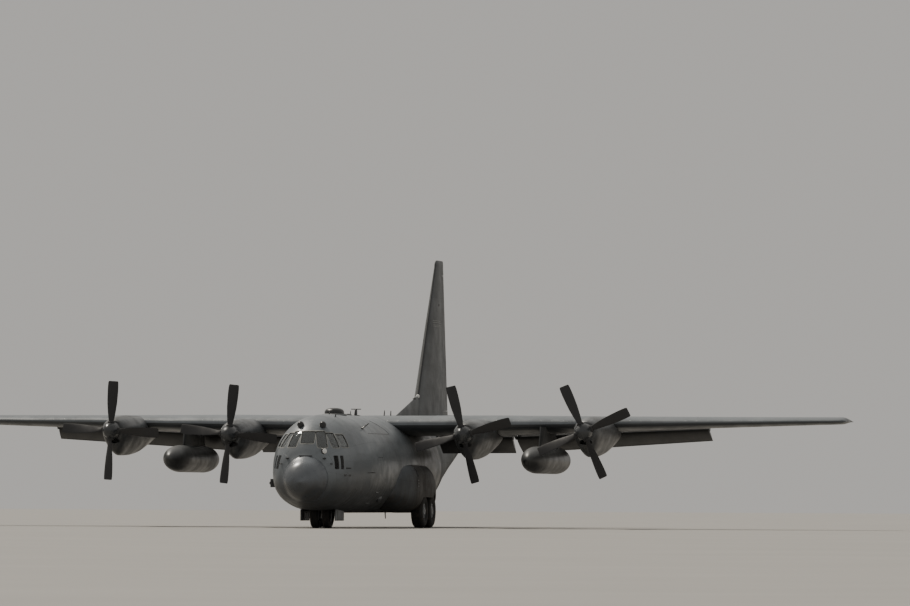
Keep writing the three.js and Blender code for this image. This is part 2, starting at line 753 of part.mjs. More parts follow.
function addFin() {
  const hingeAt = (z) => surfacePoint(finSection(z), finSection(z).hinge, 0)[0];
  const [low, high] = [RUDDER.low, RUDDER.high];
  const start = new THREE.Vector3(0, hingeAt(low), low);
  const end = new THREE.Vector3(0, hingeAt(high), high);
  const hinge = { at: start.clone().lerp(end, 0.5), axis: end.clone().sub(start).normalize() };
  const lean = hinge.axis.y / hinge.axis.z;
  const squareUpright = (points, z) => points.map(([y, across]) => (
    new THREE.Vector3(across, y, z - lean * (y - hingeAt(z)))));
  const strip = (build, from, to) => loft([from, to].map((z) => {
    const section = finSection(z);
    return squareUpright(build(section, section.hinge), z);
  }));
  const { inset, chord, thick } = FIN_CAP;
  const cap = { ...FIN_TIP, along: FIN_TOP, thick, lead: FIN_TIP.lead + inset, chord };
  const rings = [FIN_ROOT, FIN_TIP, cap].map((s) => uprightRing(wholeSection(s), s.along));
  const cove = strip(controlCove, low - RUNNING_GAP, high + RUNNING_GAP);
  const dorsal = loft([
    [DORSAL.front, DORSAL.edge, DORSAL_TOPS[0]],
    [DORSAL.rear, DORSAL.half, DORSAL_TOPS[1]],
  ].map(([y, half, top]) => {
    const shoulder = half * DORSAL_SHOULDER.share;
    return [
      new THREE.Vector3(half, y, DORSAL.low),
      new THREE.Vector3(shoulder, y, top - DORSAL_SHOULDER.drop),
      new THREE.Vector3(0, y, top),
      new THREE.Vector3(-shoulder, y, top - DORSAL_SHOULDER.drop),
      new THREE.Vector3(-half, y, DORSAL.low),
    ];
  }));
  const whole = join(loft(rings), dorsal);
  const fin = cut(whole, cove, bodyLoft(CENTRE_END - 200, LENGTH, -SEAT_GAP), stabLoft(SEAT_GAP));
  addPiece('fin', largestOf(fin), PAINT);
  addTurning('rudder', pinnedStrip(strip(controlSection, low, high), hinge, [start, end]), PAINT, hinge);
}

function largestOf(geometry) {
  const pieces = solidOf(geometry).decompose();
  pieces.sort((a, b) => b.volume() - a.volume());
  return geometryOf(pieces[0]);
}

// Power plants

function nacelleRing(row, x, hub, grow = 0) {
  const [y, half, top, bottom, mid] = row;
  const ring = [];
  for (let i = 0; i < NACELLE_SIDES; i += 1) {
    const angle = i / NACELLE_SIDES * 2 * Math.PI;
    const [s, c] = [Math.sin(angle), Math.cos(angle)];
    const reach = c > 0 ? top - mid : mid - bottom;
    const pinch = c > 0 ? 1 : 1 - 0.28 * c * c;
    ring.push(new THREE.Vector3(x + (half + grow) * s * pinch, y, hub + mid + (reach + grow) * c));
  }
  return ring;
}

function addPropeller(number, x, hub, turn) {
  const spinner = new THREE.LatheGeometry(SPINNER_PROFILE.map(([r, y]) => new THREE.Vector2(r, y)), 16);
  let geometry = spinner;
  const blade = loft(BLADE_ROWS.map(([radius, chord, thick, pitch]) => {
    const outline = [[0.5, 0], [0.2, 0.42], [-0.2, 0.5], [-0.5, 0], [-0.2, -0.5], [0.2, -0.42]];
    const [s, c] = [Math.sin(radians(pitch)), Math.cos(radians(pitch))];
    return outline.map(([a, b]) => new THREE.Vector3(
      a * chord * c - b * thick * s, a * chord * s + b * thick * c, radius));
  }));
  for (let i = 0; i < BLADES; i += 1) {
    geometry = join(geometry, blade.clone().rotateY(radians(turn + i * 360 / BLADES)));
  }
  const hinge = { at: new THREE.Vector3(x, PROP_Y, hub), axis: new THREE.Vector3(0, 1, 0) };
  geometry.translate(x, PROP_Y, hub);
  addTurning(`propeller_${number}`, geometry, PROP_PAINT, hinge);
}

function engineSolid(x, hub, grow) {
  const body = block(x - ENGINE.half - grow, x + ENGINE.half + grow, ENGINE.front - grow, ENGINE.rear + grow,
    hub + ENGINE.low - grow, hub + ENGINE.high + grow);
  const shaftFront = PROP_Y + SPINNER_PROFILE[SPINNER_PROFILE.length - 1][1] + SEAT_GAP;
  const shaft = rod('y', ENGINE.shaft + grow, shaftFront - grow * 20, ENGINE.front + 10, [x, hub], 16);
  return join(body, shaft);
}

function nacelleSolid(x, hub) {
  const skin = loft(NACELLE_ROWS.map((row) => nacelleRing(row, x, hub)));
  const intake = block(x - INTAKE.half, x + INTAKE.half, NACELLE_ROWS[0][0] - 10, INTAKE.rear,
    hub + INTAKE.low, hub + INTAKE.high);
  const exhaust = rod('y', EXHAUST.radius, EXHAUST.front, EXHAUST.rear, [x, hub - EXHAUST.below], 16);
  const link = rod('y', EXHAUST.duct, ENGINE.rear - 50, EXHAUST.front + 100, [x, hub - LINK_DROP], 12);
  const wings = [wingCentreLoft(SEAT_GAP), outerWingLoft(SEAT_GAP)];
  return largestOf(cut(skin, ...wings, engineSolid(x, hub, SEAT_GAP), intake, exhaust, link));
}

function addPowerPlants() {
  for (const [number, sign, offset, hub, turn] of NACELLES) {
    addPropeller(number, sign * offset, hub, turn);
    addPiece(`engine_${number}`, onSide(engineSolid(offset, hub, 0), sign), CAST);
    addPiece(`nacelle_${number}`, onSide(nacelleSolid(offset, hub), sign), PAINT);
  }
}

// Tanks on their pylons

function addTanks() {
  const half = TANK.length / 2;
  const straight = TANK.cylinder / 2;
  const profile = [];
  for (let i = 0; i <= 5; i += 1) {
    const angle = i / 5 * Math.PI / 2;
    profile.push([TANK.radius * Math.sin(angle), -straight - (half - straight) * Math.cos(angle)]);
  }
  const outline = [...profile, ...profile.map(([r, y]) => [r, -y]).reverse()];
  outline[0][0] = 0;
  outline[outline.length - 1][0] = 0;
  const shape = new THREE.LatheGeometry(outline.map(([r, y]) => new THREE.Vector2(r, y)), 20);
  const body = shape.translate(TANK.x, TANK.y, TANK.z);
  const pylonRing = (z, inset) => [[-1, 0], [-0.92, 1], [0.5, 1], [1, 0], [0.5, -1], [-0.92, -1]].map(([f, side]) => (
    new THREE.Vector3(
      TANK.x + side * PYLON.half,
      (PYLON.front + PYLON.rear) / 2 + f * ((PYLON.rear - PYLON.front) / 2 - inset),
      z,
    )));
  const pylon = loft([pylonRing(PYLON.bottom, 0), pylonRing(PYLON.top, PYLON.slope)]);
  const tank = join(body, largestOfBelow(cut(pylon, outerWingLoft(SEAT_GAP))));
  for (const [side, sign] of [['port', 1], ['starboard', -1]]) {
    addPiece(`tank_${side}`, onSide(tank, sign), PAINT_DARK);
  }
}

function largestOfBelow(geometry) {
  const pieces = solidOf(geometry).decompose();
  pieces.sort((a, b) => a.boundingBox().min[2] - b.boundingBox().min[2]);
  return geometryOf(pieces[0]);
}

// Landing gear

function wheelProfile(radius, hub, width) {
  const half = width / 2;
  return [[hub, -half * 0.78], [radius * 0.8, -half], [radius * 0.93, -half * 0.86], [radius, -half * 0.5],
    [radius, half * 0.5], [radius * 0.93, half * 0.86], [radius * 0.8, half], [hub, half * 0.78], [hub, -half * 0.78]];
}

function ringBody(profile, sides, x, y, z) {
  const points = profile.map(([r, across]) => new THREE.Vector2(r, across));
  return new THREE.LatheGeometry(points, sides).rotateZ(-Math.PI / 2).translate(x, y, z);
}

function hubBody(hub, width, bore, x, y, z) {
  const half = width / 2;
  const r = hub - SEAT_GAP;
  const profile = [[bore, -half * 0.88], [r * 0.7, -half * 0.88], [r, -half * 0.76],
    [r, half * 0.76], [r * 0.7, half * 0.88], [bore, half * 0.88], [bore, -half * 0.88]];
  return ringBody(profile, WHEEL_SIDES, x, y, z);
}

function wheelHinge(x, y, z) {
  return { at: new THREE.Vector3(x, y, z), axis: new THREE.Vector3(1, 0, 0) };
}

function addNoseGear() {
  const { y, x, radius, width, hub } = NOSE_WHEEL;
  const { radius: strutRadius, foot, forkRadius, braceHalf, braceLow, braceTop } = NOSE_STRUT;
  const well = NOSE_WELL;
  const outer = block(-well.half - well.wall, well.half + well.wall, well.front - well.wall, well.rear + well.wall,
    well.low + 100, well.top + well.wall);
  const hollow = block(-well.half, well.half, well.front, well.rear, well.low, well.top);
  const box = common(cut(outer, hollow), bodyLoft(RADOME_END, NOSE_END, BODY_WALL + SEAT_GAP));
  addPiece('nose_gear_well', box, CABIN);
  const strut = join(
    rod('z', strutRadius, foot, well.top - SEAT_GAP, [0, y], 20),
    block(-braceHalf, braceHalf, y - 20, well.rear - SEAT_GAP, braceLow, braceTop),
  );
  addPiece('nose_gear_strut', strut, STEEL);
  const fork = join(
    rod('z', forkRadius, radius - 90, foot - SEAT_GAP, [0, y], 20),
    rod('x', AXLE_RADIUS, -x - width * 0.45, x + width * 0.45, [y, radius], 20),
  );
  const steering = { at: new THREE.Vector3(0, y, foot), axis: new THREE.Vector3(0, 0, 1) };
  addTurning('nose_gear_fork', fork, STEEL, steering);
  const tyre = ringBody(wheelProfile(radius, hub - 5, width), WHEEL_SIDES, x, y, radius);
  const wheel = join(tyre, hubBody(hub, width, BORE_RADIUS, x, y, radius));
  for (const [side, sign] of [['port', 1], ['starboard', -1]]) {
    addTurning(`nose_wheel_${side}`, onSide(wheel, sign), RUBBER, wheelHinge(0, y, radius));
    const inner = well.half + NOSE_LEAF.gap;
    const leaf = block(inner, inner + NOSE_LEAF.thick, well.front + NOSE_LEAF.inset, well.rear - NOSE_LEAF.inset,
      NOSE_LEAF.low, NOSE_LEAF.top);
    const skin = bodyLoft(RADOME_END, NOSE_END, -SEAT_GAP);
    addPiece(`nose_gear_door_${side}`, onSide(largestOfBelow(cut(leaf, skin)), sign), PAINT);
  }
}

function addMainGear() {
  const { x, radius, width, hub } = MAIN_WHEEL;
  const tyreSolid = (y) => ringBody(wheelProfile(radius, hub, width), WHEEL_SIDES, x, y, radius);
  const top = MAIN_WELL.top - SEAT_GAP;
  const struts = MAIN_WHEEL.y.map((y) => join(
    rod('x', AXLE_RADIUS, LEG.x, x + width * 0.47, [y, radius], 20),
    rod('z', LEG.radius, radius - 90, top, [LEG.x, y], 16),
  ));
  const beam = block(LEG.x - LEG.radius, LEG.x + LEG.radius, ...MAIN_WHEEL.y, top - 90, top);
  const legs = join(struts[0], struts[1], beam);
  for (const [side, sign] of [['port', 1], ['starboard', -1]]) {
    addPiece(`main_gear_legs_${side}`, onSide(legs, sign), STEEL);
    for (const [place, y] of [['front', MAIN_WHEEL.y[0]], ['rear', MAIN_WHEEL.y[1]]]) {
      const hinge = wheelHinge(sign * x, y, radius);
      addTurning(`main_tyre_${place}_${side}`, onSide(tyreSolid(y), sign), RUBBER, hinge);
      const rim = hubBody(hub, width, BORE_RADIUS, x, y, radius);
      addTurning(`main_hub_${place}_${side}`, onSide(rim, sign), HUB_PAINT, hinge);
    }
  }
}

function mainWellCuts() {
  const { x, y, radius, width } = MAIN_WHEEL;
  const outer = x + width / 2 + MAIN_WELL.side;
  const arches = y.map((centre) => (
    rod('x', radius + MAIN_WELL.around, x - width / 2 - MAIN_WELL.inner, outer, [centre, radius], 36)));
  const slot = block(LEG.x - LEG.radius - 13, outer, y[0] - 300, y[1] + 300, 300, MAIN_WELL.top);
  return [...arches, slot];
}

function addSponsons() {
  const rings = SPONSON_ROWS.map(([y, outerEdge, top, bottom]) => {
    const mid = (top + bottom) / 2;
    const ring = [];
    for (let i = 0; i <= 12; i += 1) {
      const angle = (90 - i * 15) * Math.PI / 180;
      const c = Math.cos(angle);
      const s = Math.sin(angle);
      const reach = SPONSON_INNER + (outerEdge - SPONSON_INNER) * Math.max(c, 0) ** SPONSON_FULLNESS;
      const rise = (top - bottom) / 2 * Math.sign(s) * Math.abs(s) ** SPONSON_FULLNESS;
      ring.push(new THREE.Vector3(reach, y, mid + rise));
    }
    return ring;
  });
  const body = cut(loft(rings), bodyLoft(NOSE_END, SPONSON_HULL_END, -SEAT_GAP), ...mainWellCuts());
  const sponson = largestOf(body);
  for (const [side, sign] of [['port', 1], ['starboard', -1]]) {
    addPiece(`sponson_${side}`, onSide(sponson, sign), PAINT);
  }
}

// Fuselage pieces

function paneCuts() {
  const cuts = [];
  for (const [across, along, turn, width, low, high] of PANES) {
    for (const sign of across === 0 ? [1] : [1, -1]) {
      const pane = block(-width / 2, width / 2, -PANE_OUT, PANE_IN, low, high);
      cuts.push(pane.rotateZ(radians(sign * turn)).translate(sign * across, along, 0));
    }
  }
  for (const [y, z, length, height] of FOOT_WINDOWS) {
    for (const sign of [1, -1]) {
      const pane = block(600, 2000, y - length / 2, y + length / 2, z - height / 2, z + height / 2);
      cuts.push(onSide(indexed(pane), sign));
    }
  }
  return cuts;
}

function indexed(geometry) {
  return geometry.index ? geometry : mergeVertices(geometry);
}

function doorBlock(door, grow) {
  return block(900, 2600, door.front - grow, door.rear + grow, door.low - grow, door.high + grow);
}

function addNose() {
  addPiece('radome', bodyLoft(-OVERLAP, RADOME_END - SEAT_GAP / 2), RADOME_PAINT);
  const start = RADOME_END + SEAT_GAP / 2;
  const end = NOSE_END - SEAT_GAP / 2;
  const shell = cut(bodyLoft(start, end), bodyLoft(start - OVERLAP, end + OVERLAP, BODY_WALL));
  const well = block(-NOSE_WELL.half, NOSE_WELL.half, NOSE_WELL.front, NOSE_WELL.rear, 300, 1200);
  const nose = cut(shell, ...paneCuts(), doorBlock(CREW_DOOR, RUNNING_GAP), well);
  addPiece('nose_fuselage', nose, PAINT);
  const door = common(shell, doorBlock(CREW_DOOR, 0));
  const middle = (CREW_DOOR.front + CREW_DOOR.rear) / 2;
  const axisX = bodyHalfWidth(middle, CREW_DOOR.low) - DOOR_PIN.inset;
  const axisZ = CREW_DOOR.low - DOOR_PIN.below;
  const hinge = { at: new THREE.Vector3(axisX, middle, axisZ), axis: new THREE.Vector3(0, 1, 0) };
  const reach = RUNNING_GAP - SEAT_GAP;
  const bar = rod('y', DOOR_PIN.radius, CREW_DOOR.front - reach, CREW_DOOR.rear + reach, [axisX, axisZ], PIN_SIDES);
  addTurning('crew_door', join(largestOf(door), bar), PAINT, hinge);
}

function glassLoft(inset) {
  return bodyLoft(GLASS_FRONT, GLASS_REAR, inset);
}

function addFlightDeck() {
  const inside = bodyLoft(DECK_FRONT - OVERLAP, NOSE_END, BODY_WALL + SEAT_GAP);
  const floor = block(-WIDE, WIDE, DECK_FRONT, DECK_REAR, DECK_TOP - DECK_THICK, DECK_TOP);
  const wall = block(-WIDE, WIDE, DECK_REAR - DECK_WALL.thick, DECK_REAR, DECK_WALL.low, DECK_TOP);
  const panel = block(-WIDE, WIDE, PANEL_FRONT, PANEL_REAR, DECK_TOP - 10, PANEL_TOP);
  const wellSide = NOSE_WELL.half + WELL_CLEARANCE;
  const wellTop = block(-wellSide, wellSide, NOSE_WELL.front - WELL_CLEARANCE, NOSE_WELL.rear + WELL_CLEARANCE,
    NOSE_WELL.low, NOSE_WELL.top + WELL_CLEARANCE);
  let deck = common(join(floor, wall, panel), inside);
  for (const sign of [1, -1]) {
    const x = sign * SEAT.x;
    const seat = block(x - SEAT.half, x + SEAT.half, SEAT.y - SEAT.front, SEAT.y + SEAT.rear, DECK_TOP - 5, SEAT.top);
    const back = block(x - SEAT_BACK.half, x + SEAT_BACK.half, SEAT.y + SEAT_BACK.front, SEAT.y + SEAT_BACK.rear,
      SEAT_BACK.low, SEAT_BACK.top);
    deck = join(deck, seat, back);
  }
  addPiece('flight_deck', largestOf(cut(deck, wellTop)), CABIN);
  const band = cut(glassLoft(BODY_WALL + SEAT_GAP), bodyLoft(GLASS_FRONT - OVERLAP, GLASS_REAR + OVERLAP,
    BODY_WALL + SEAT_GAP + GLASS_THICK));
  const low = block(-WIDE, WIDE, FOOT_GLASS_REAR, GLASS_REAR + OVERLAP, 0, GLASS_LOW);
  const footLow = block(-WIDE, WIDE, GLASS_FRONT - OVERLAP, FOOT_GLASS_REAR + OVERLAP, 0, FOOT_GLASS_LOW);
  addPiece('flight_deck_glazing', largestOf(cut(band, low, footLow)), GLASS);
}

function addCentre() {
  const start = NOSE_END + SEAT_GAP / 2;
  const end = CENTRE_END - SEAT_GAP / 2;
  const shell = cut(bodyLoft(start, end), bodyLoft(start - OVERLAP, end + OVERLAP, BODY_WALL));
  const door = doorBlock(PARATROOP_DOOR, SEAT_GAP);
  const wells = mainWellCuts();
  const cuts = [wingCentreLoft(SEAT_GAP), door, mirrored(indexed(door)), ...wells];
  cuts.push(...wells.map((well) => mirrored(indexed(well))));
  addPiece('centre_fuselage', largestOf(cut(shell, ...cuts)), PAINT);
  const leaf = largestOf(common(shell, doorBlock(PARATROOP_DOOR, 0)));
  for (const [side, sign] of [['port', 1], ['starboard', -1]]) {
    addPiece(`paratroop_door_${side}`, onSide(leaf, sign), PAINT_DARK);
  }
  const inside = bodyLoft(FLOOR_START - OVERLAP, CENTRE_END + OVERLAP, BODY_WALL + SEAT_GAP);
  const floor = block(-2200, 2200, FLOOR_START + 35, CENTRE_END - RUNNING_GAP, FLOOR_TOP - FLOOR_THICK, FLOOR_TOP);
  addPiece('cargo_floor', common(floor, inside), CABIN);
}

// Where the ramp ends at a height
function rampRear(z) {
  return RAMP.rear - RAMP_LEAN * (z - RAMP_LEAN_FROM);
}

function rampPrism(grow) {
  const front = CENTRE_END + RUNNING_GAP - grow;
  return sidePrism([
    [front, 200],
    [rampRear(200) + grow, 200],
    [rampRear(RAMP.rearTop + grow) + grow, RAMP.rearTop + grow],
    [front, FLOOR_TOP + grow],
  ], -RAMP.half - grow, RAMP.half + grow);
}

function cargoDoorPrism(grow) {
  const frontAt = (z) => rampRear(z) + RUNNING_GAP - grow;
  const rear = CARGO_DOOR.rear + (grow > 0 ? CARGO_DOOR.rearGap : 0);
  return sidePrism([
    [frontAt(1000), 1000],
    [rear, 1000],
    [rear, CARGO_DOOR.top + grow],
    [frontAt(CARGO_DOOR.frontTop), CARGO_DOOR.frontTop],
  ], -CARGO_DOOR.half - grow, CARGO_DOOR.half + grow);
}

function addAft() {
  const start = CENTRE_END + SEAT_GAP / 2;
  const solid = bodyLoft(start, LENGTH + OVERLAP);
  const shell = cut(solid, bodyLoft(start - OVERLAP, AFT_HOLLOW_END, BODY_WALL));
  const aft = cut(shell, rampPrism(RUNNING_GAP), cargoDoorPrism(RUNNING_GAP), stabLoft(SEAT_GAP));
  addPiece('aft_fuselage', largestOf(aft), PAINT);
  const rampY = CENTRE_END + RUNNING_GAP;
  const knuckle = rod('x', RUNNING_GAP - SEAT_GAP, -RAMP.knuckles, RAMP.knuckles, [rampY, RAMP.hingeZ], 16);
  const ramp = join(largestOf(common(solid, rampPrism(0))), knuckle);
  addTurning('ramp', ramp, PAINT, {
    at: new THREE.Vector3(0, rampY, RAMP.hingeZ),
    axis: new THREE.Vector3(1, 0, 0),
  });
  const { half, hingeY, hingeZ } = CARGO_DOOR;
  const doorHinge = { at: new THREE.Vector3(0, hingeY, hingeZ), axis: new THREE.Vector3(1, 0, 0) };
  const ends = [-half, half].map((x) => new THREE.Vector3(x, hingeY, hingeZ));
  const door = largestOfBelow(common(shell, cargoDoorPrism(0)));
  addTurning('cargo_door', pinnedStrip(door, doorHinge, ends), PAINT, doorHinge);
}

addNose();
addFlightDeck();
addCentre();
addAft();
addSponsons();
addWing();
addTailplane();
addFin();
addPowerPlants();
addTanks();
addNoseGear();
addMainGear();

export default aircraft;
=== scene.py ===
# Looks of a four-engined high-wing military transport plane on its landing gear, a 1:2 scale model
# Shapes are built at the real size in metres (x to port, y aft from the nose tip, z up from the ground)
# and dress() brings each finished piece into the model's frame
import math
from types import SimpleNamespace as Sizes

import bmesh
import bpy
from mathutils import Matrix, Vector


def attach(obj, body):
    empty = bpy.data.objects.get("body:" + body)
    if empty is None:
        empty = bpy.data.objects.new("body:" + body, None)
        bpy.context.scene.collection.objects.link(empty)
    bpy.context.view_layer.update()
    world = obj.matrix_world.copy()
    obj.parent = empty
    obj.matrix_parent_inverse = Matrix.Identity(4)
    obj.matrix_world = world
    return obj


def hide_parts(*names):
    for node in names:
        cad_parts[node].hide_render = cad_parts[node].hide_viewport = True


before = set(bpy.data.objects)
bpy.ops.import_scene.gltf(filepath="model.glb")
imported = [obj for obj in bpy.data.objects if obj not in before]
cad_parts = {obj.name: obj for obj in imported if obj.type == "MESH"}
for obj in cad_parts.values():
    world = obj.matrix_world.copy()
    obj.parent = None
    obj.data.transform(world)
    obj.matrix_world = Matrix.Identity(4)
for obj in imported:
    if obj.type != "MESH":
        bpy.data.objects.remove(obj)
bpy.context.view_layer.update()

SCALE = 0.5
LENGTH = 29.79
TO_MODEL = Matrix.Translation((0, -LENGTH * SCALE / 2, 0)) @ Matrix.Scale(SCALE, 4)
SEAT_GAP = 0.0006
RUNNING_GAP = 0.014
PIN_REACH = RUNNING_GAP - SEAT_GAP
PIN_DEPTH = 0.06
BODY_WALL = 0.1
SHARP_ANGLE = 28
ROUNDING = 1e-9

# Fuselage rows: station, half width, top, bottom, height of the widest point, fullness of the lower half
BODY_ROWS = [
    (0, 0.02, 1.87, 1.83, 1.85, 2),
    (0.12, 0.4, 2.19, 1.48, 1.85, 2),
    (0.45, 0.72, 2.6, 1.2, 1.91, 2),
    (1.0, 0.95, 2.92, 1.03, 1.975, 2),
    (1.15, 1.14, 3.2, 0.97, 2.0, 2),
    (1.4, 1.33, 3.6, 0.9, 2.05, 2.1),
    (1.75, 1.48, 3.98, 0.84, 2.12, 2.2),
    (2.2, 1.61, 4.24, 0.79, 2.2, 2.3),
    (2.8, 1.755, 4.45, 0.745, 2.3, 2.35),
    (3.5, 1.905, 4.58, 0.705, 2.38, 2.4),
    (4.3, 2.08, 4.63, 0.67, 2.44, 2.5),
    (5.4, 2.15, 4.65, 0.63, 2.48, 2.5),
    (6.2, 2.16, 4.65, 0.62, 2.49, 2.5),
    (15.5, 2.16, 4.65, 0.62, 2.49, 2.5),
    (17.7, 2.14, 4.65, 0.63, 2.5, 2.15),
    (19.2, 2.05, 4.652, 1.18, 2.7, 2),
    (20.8, 1.94, 4.66, 1.75, 2.95, 2),
    (23.2, 1.74, 4.68, 2.45, 3.3, 2.1),
    (26.2, 1.36, 4.7, 3.06, 3.76, 2.2),
    (28.3, 0.72, 4.64, 3.68, 4.15, 2),
    (29.79, 0.16, 4.48, 4.18, 4.33, 2),
]
BODY_SIDES = 120
RADOME_END = 1.0
RADOME_PLACES = (0.0, 0.02, 0.05, 0.09, 0.14, 0.2, 0.28, 0.36, 0.45, 0.56, 0.68, 0.8, 0.9, 0.985)
# Insets of the rim at the radome's rear end
RADOME_RIM = (0.012, 0.3)
NOSE_END = 6.2
CENTRE_END = 17.7
HOLLOW_END = 28.0
TAIL_TIP_FRONT = 29.5
# The rounded tail tip: stations and the share of the ring that is left there
TAIL_TIP = [(29.58, 0.98), (29.65, 0.93), (29.71, 0.84), (29.755, 0.68), (29.78, 0.4)]

# Windscreen panes: middle across and along, turn in degrees, width, lower edge, upper edge
PANES = [
    (0, 1.45, 0, 0.56, 3.42, 3.92),
    (0.545, 1.53, 24, 0.41, 3.26, 3.92),
    (0.93, 1.82, 52, 0.39, 3.26, 3.86),
    (1.2, 2.3, 67.6, 0.53, 3.28, 3.8),
]
PANE_CORNER = 0.05
PANE_REACH = (-0.7, 0.48)
# Foot windows: their stations, and what they share; their tops lean aft, and the limit is above them
FOOT_WINDOWS = (1.4, 1.68)
FOOT_WINDOW = Sizes(length=0.2, height=0.56, middle=2.66, lean=0.25, corner=0.04, reach=(0.6, 2.0), limit=3.1)
WINDOW_STATIONS = (1.15, 2.9)
# Layers in the windows: inset of the outer and inner face, growth of the outline and of the hole in it
PANE_LAYER = (0.022, 0.036, -0.012)
SEAL_LAYER = (0.012, 0.05, -0.001, -0.02)
FRAME_LAYER = (-0.006, 0.03, 0.034, 0.0)
# Doors: front, rear, lower edge, upper edge; and how far across their cuts reach
CREW_DOOR = (5.18, 5.99, 1.04, 2.88)
PARATROOP_DOOR = (16.55, 17.48, 1.035, 2.9)
DOOR_REACH = (0.9, 2.6)
DOOR_MARGIN = 0.2
# The crew door's hinge bar against the foot of the door, the sill below it, and its steps
HINGE_BAR = Sizes(inset=0.014, drop=0.004, radius=0.009, room=0.02)
SILL_DROP = 0.032
CREW_STEPS = Sizes(heights=(1.45, 1.8, 2.15, 2.5), x=(1.62, 1.98), end_gap=0.14, thick=0.03)
# The ramp and the cargo door are cut from lengths of the fuselage, from a height below the belly upwards
RAMP = Sizes(rear=20.76, half=1.4, front_top=1.03, rear_top=2.05, hinge_z=0.655, knuckles=0.3, below=0.2)
RAMP_BODY_END = 23.0
CARGO_DOOR = Sizes(rear=26.25, half=1.06, top=3.53, front_top=2.4, rear_gap=0.038, hinge=(26.215, 3.36),
                   below=1.0)
CARGO_BODY = (19.9, 26.6)
# The edges of the ramp and the cargo door lean forward from this height
RAMP_LEAN = 0.55
RAMP_LEAN_FROM = 1.74

# Wing sections: place along the span, chord, height, thickness, twist in degrees
WING_QUARTER = 13.42
WING_JOINT = 5.59
WING_ROOT = dict(along=0, chord=4.88, z=4.21, thick=0.175, twist=3)
WING_BREAK = dict(along=WING_JOINT, chord=4.88, z=4.25, thick=0.173, twist=3)
WING_TIP = dict(along=19.945, chord=2.51, z=4.5, thick=0.12, twist=0)
# Rounded tips: places beyond the last section, and how the front and the chord draw in
WING_ROUND = Sizes(places=(0.05, 0.1, 0.15, 0.19, 0.22, 0.245, 0.26), length=0.268, lead=0.26, chord=0.52)
CAMBER = 0.014
EDGE_HALF = 0.009
NOSE_INSET = 0.004
CONTROL_INSET = 0.003
COVE_STEP = 23
# How far the cut for a control surface reaches behind it, and above and below its nose
COVE_MARGIN = Sizes(aft=0.2, rise=0.3)
COVE_SKIN = 0.06
SHROUD_SKIN = 0.028
COVE_FRACTION = 0.742
SHROUD_FRACTION = 0.865
FLAP_FRACTION = 0.762
FLAP_THICK = 0.15
FLAP_DOWN = 36
# How far the flap's hinge line lies ahead of and below its nose at the wing root
FLAP_PIVOT = (0.15, 0.6)
FLAP_PIN_FRACTION = 0.019
# How far the cut for a flap rises over the lip, falls below the cove, and reaches aft in chords
FLAP_CUT = Sizes(rise=0.08, fall=0.25, aft=1.06)
SEAL_FRACTION = 0.07
SEAL_CLEARANCE = 0.03
SEAL_THICK = 0.014
RIB_THICK = 0.044
FLAPS = [("flap_inner", 2.33, 5.5), ("flap_outer", 5.68, 14.02)]
AILERON = (14.26, 19.56)
AILERON_FRACTION = 0.765
CONTROL_PIN = 0.024

# Tail sections
STAB_ROOT = dict(along=0, lead=24.75, chord=4.15, z=4.64, thick=0.115, hinge=0.615)
STAB_TIP = dict(along=7.9, lead=25.78, chord=2.05, z=4.7, thick=0.1, hinge=0.74)
ELEVATOR = (1.08, 7.56)
STAB_ROUND = Sizes(places=((0.05, 0.9), (0.09, 0.7), (0.125, 0.36)), lead=0.2, chord=0.4)
FIN_ROOT = dict(along=4.5, lead=22.2, chord=7.3, thick=0.1, hinge=0.775)
FIN_TIP = dict(along=11.35, lead=26.56, chord=1.72, thick=0.11, hinge=0.65)
FIN_TOP = 11.66
FIN_ROUND = Sizes(steps=6, last=6.6, thin=0.5, lead=0.32, chord=0.5)
RUDDER = (5.06, 11.0)
# The long low fin ahead of the fin: its ends, its foot, and its top and half thickness at both ends
DORSAL = Sizes(front=18.0, rear=23.8, foot=4.55, front_top=4.66, rear_top=5.85, front_half=0.02,
               rear_half=0.15)

# Power plants: number, side, offset from the centre line, hub height, propeller turn in degrees
NACELLES = [
    (1, 1, 10.0, 3.99, -24), (2, 1, 4.95, 3.86, -15), (3, -1, 4.95, 3.86, 6), (4, -1, 10.0, 3.99, 3),
]
# Nacelle rows: station, half width, top and bottom against the hub, height of the widest point
NACELLE_ROWS = [
    (8.96, 0.44, 0.42, -0.56, 0.06),
    (9.25, 0.54, 0.52, -0.86, 0.07),
    (9.9, 0.61, 0.61, -1.03, 0.08),
    (11.2, 0.64, 0.66, -1.01, 0.08),
    (12.6, 0.64, 0.66, -0.9, 0.06),
    (13.9, 0.57, 0.56, -0.66, 0.02),
    (15.0, 0.4, 0.38, -0.42, -0.02),
    (15.55, 0.29, 0.22, -0.33, -0.06),
]
# How much narrower a nacelle is below, and its front edge: place behind the front, growth of the ring
NACELLE_PINCH = 0.28
NACELLE_LIP = ((0, -0.05), (0.012, -0.018))
NACELLE_CUT_HALF = 1.2
# The air intake: half width, half height, depth below the hub, length, taper, fullness across and upwards
INTAKE = Sizes(half=0.27, rise=0.1, drop=0.425, length=0.75, taper=0.03, across=0.7, upright=0.8)
EXHAUST = Sizes(front=14.5, rear=15.7, drop=0.09, radius=0.2)
LINK = Sizes(front=12.15, rear=14.6, drop=0.12, radius=0.12)
ENGINE = Sizes(half=0.3, front=9.4, rear=12.2, below=0.33, above=0.25)
SHAFT = Sizes(front=8.8906, rear=9.41, radius=0.095)
PROP_Y = 8.5
BLADE_ROOT = 0.5
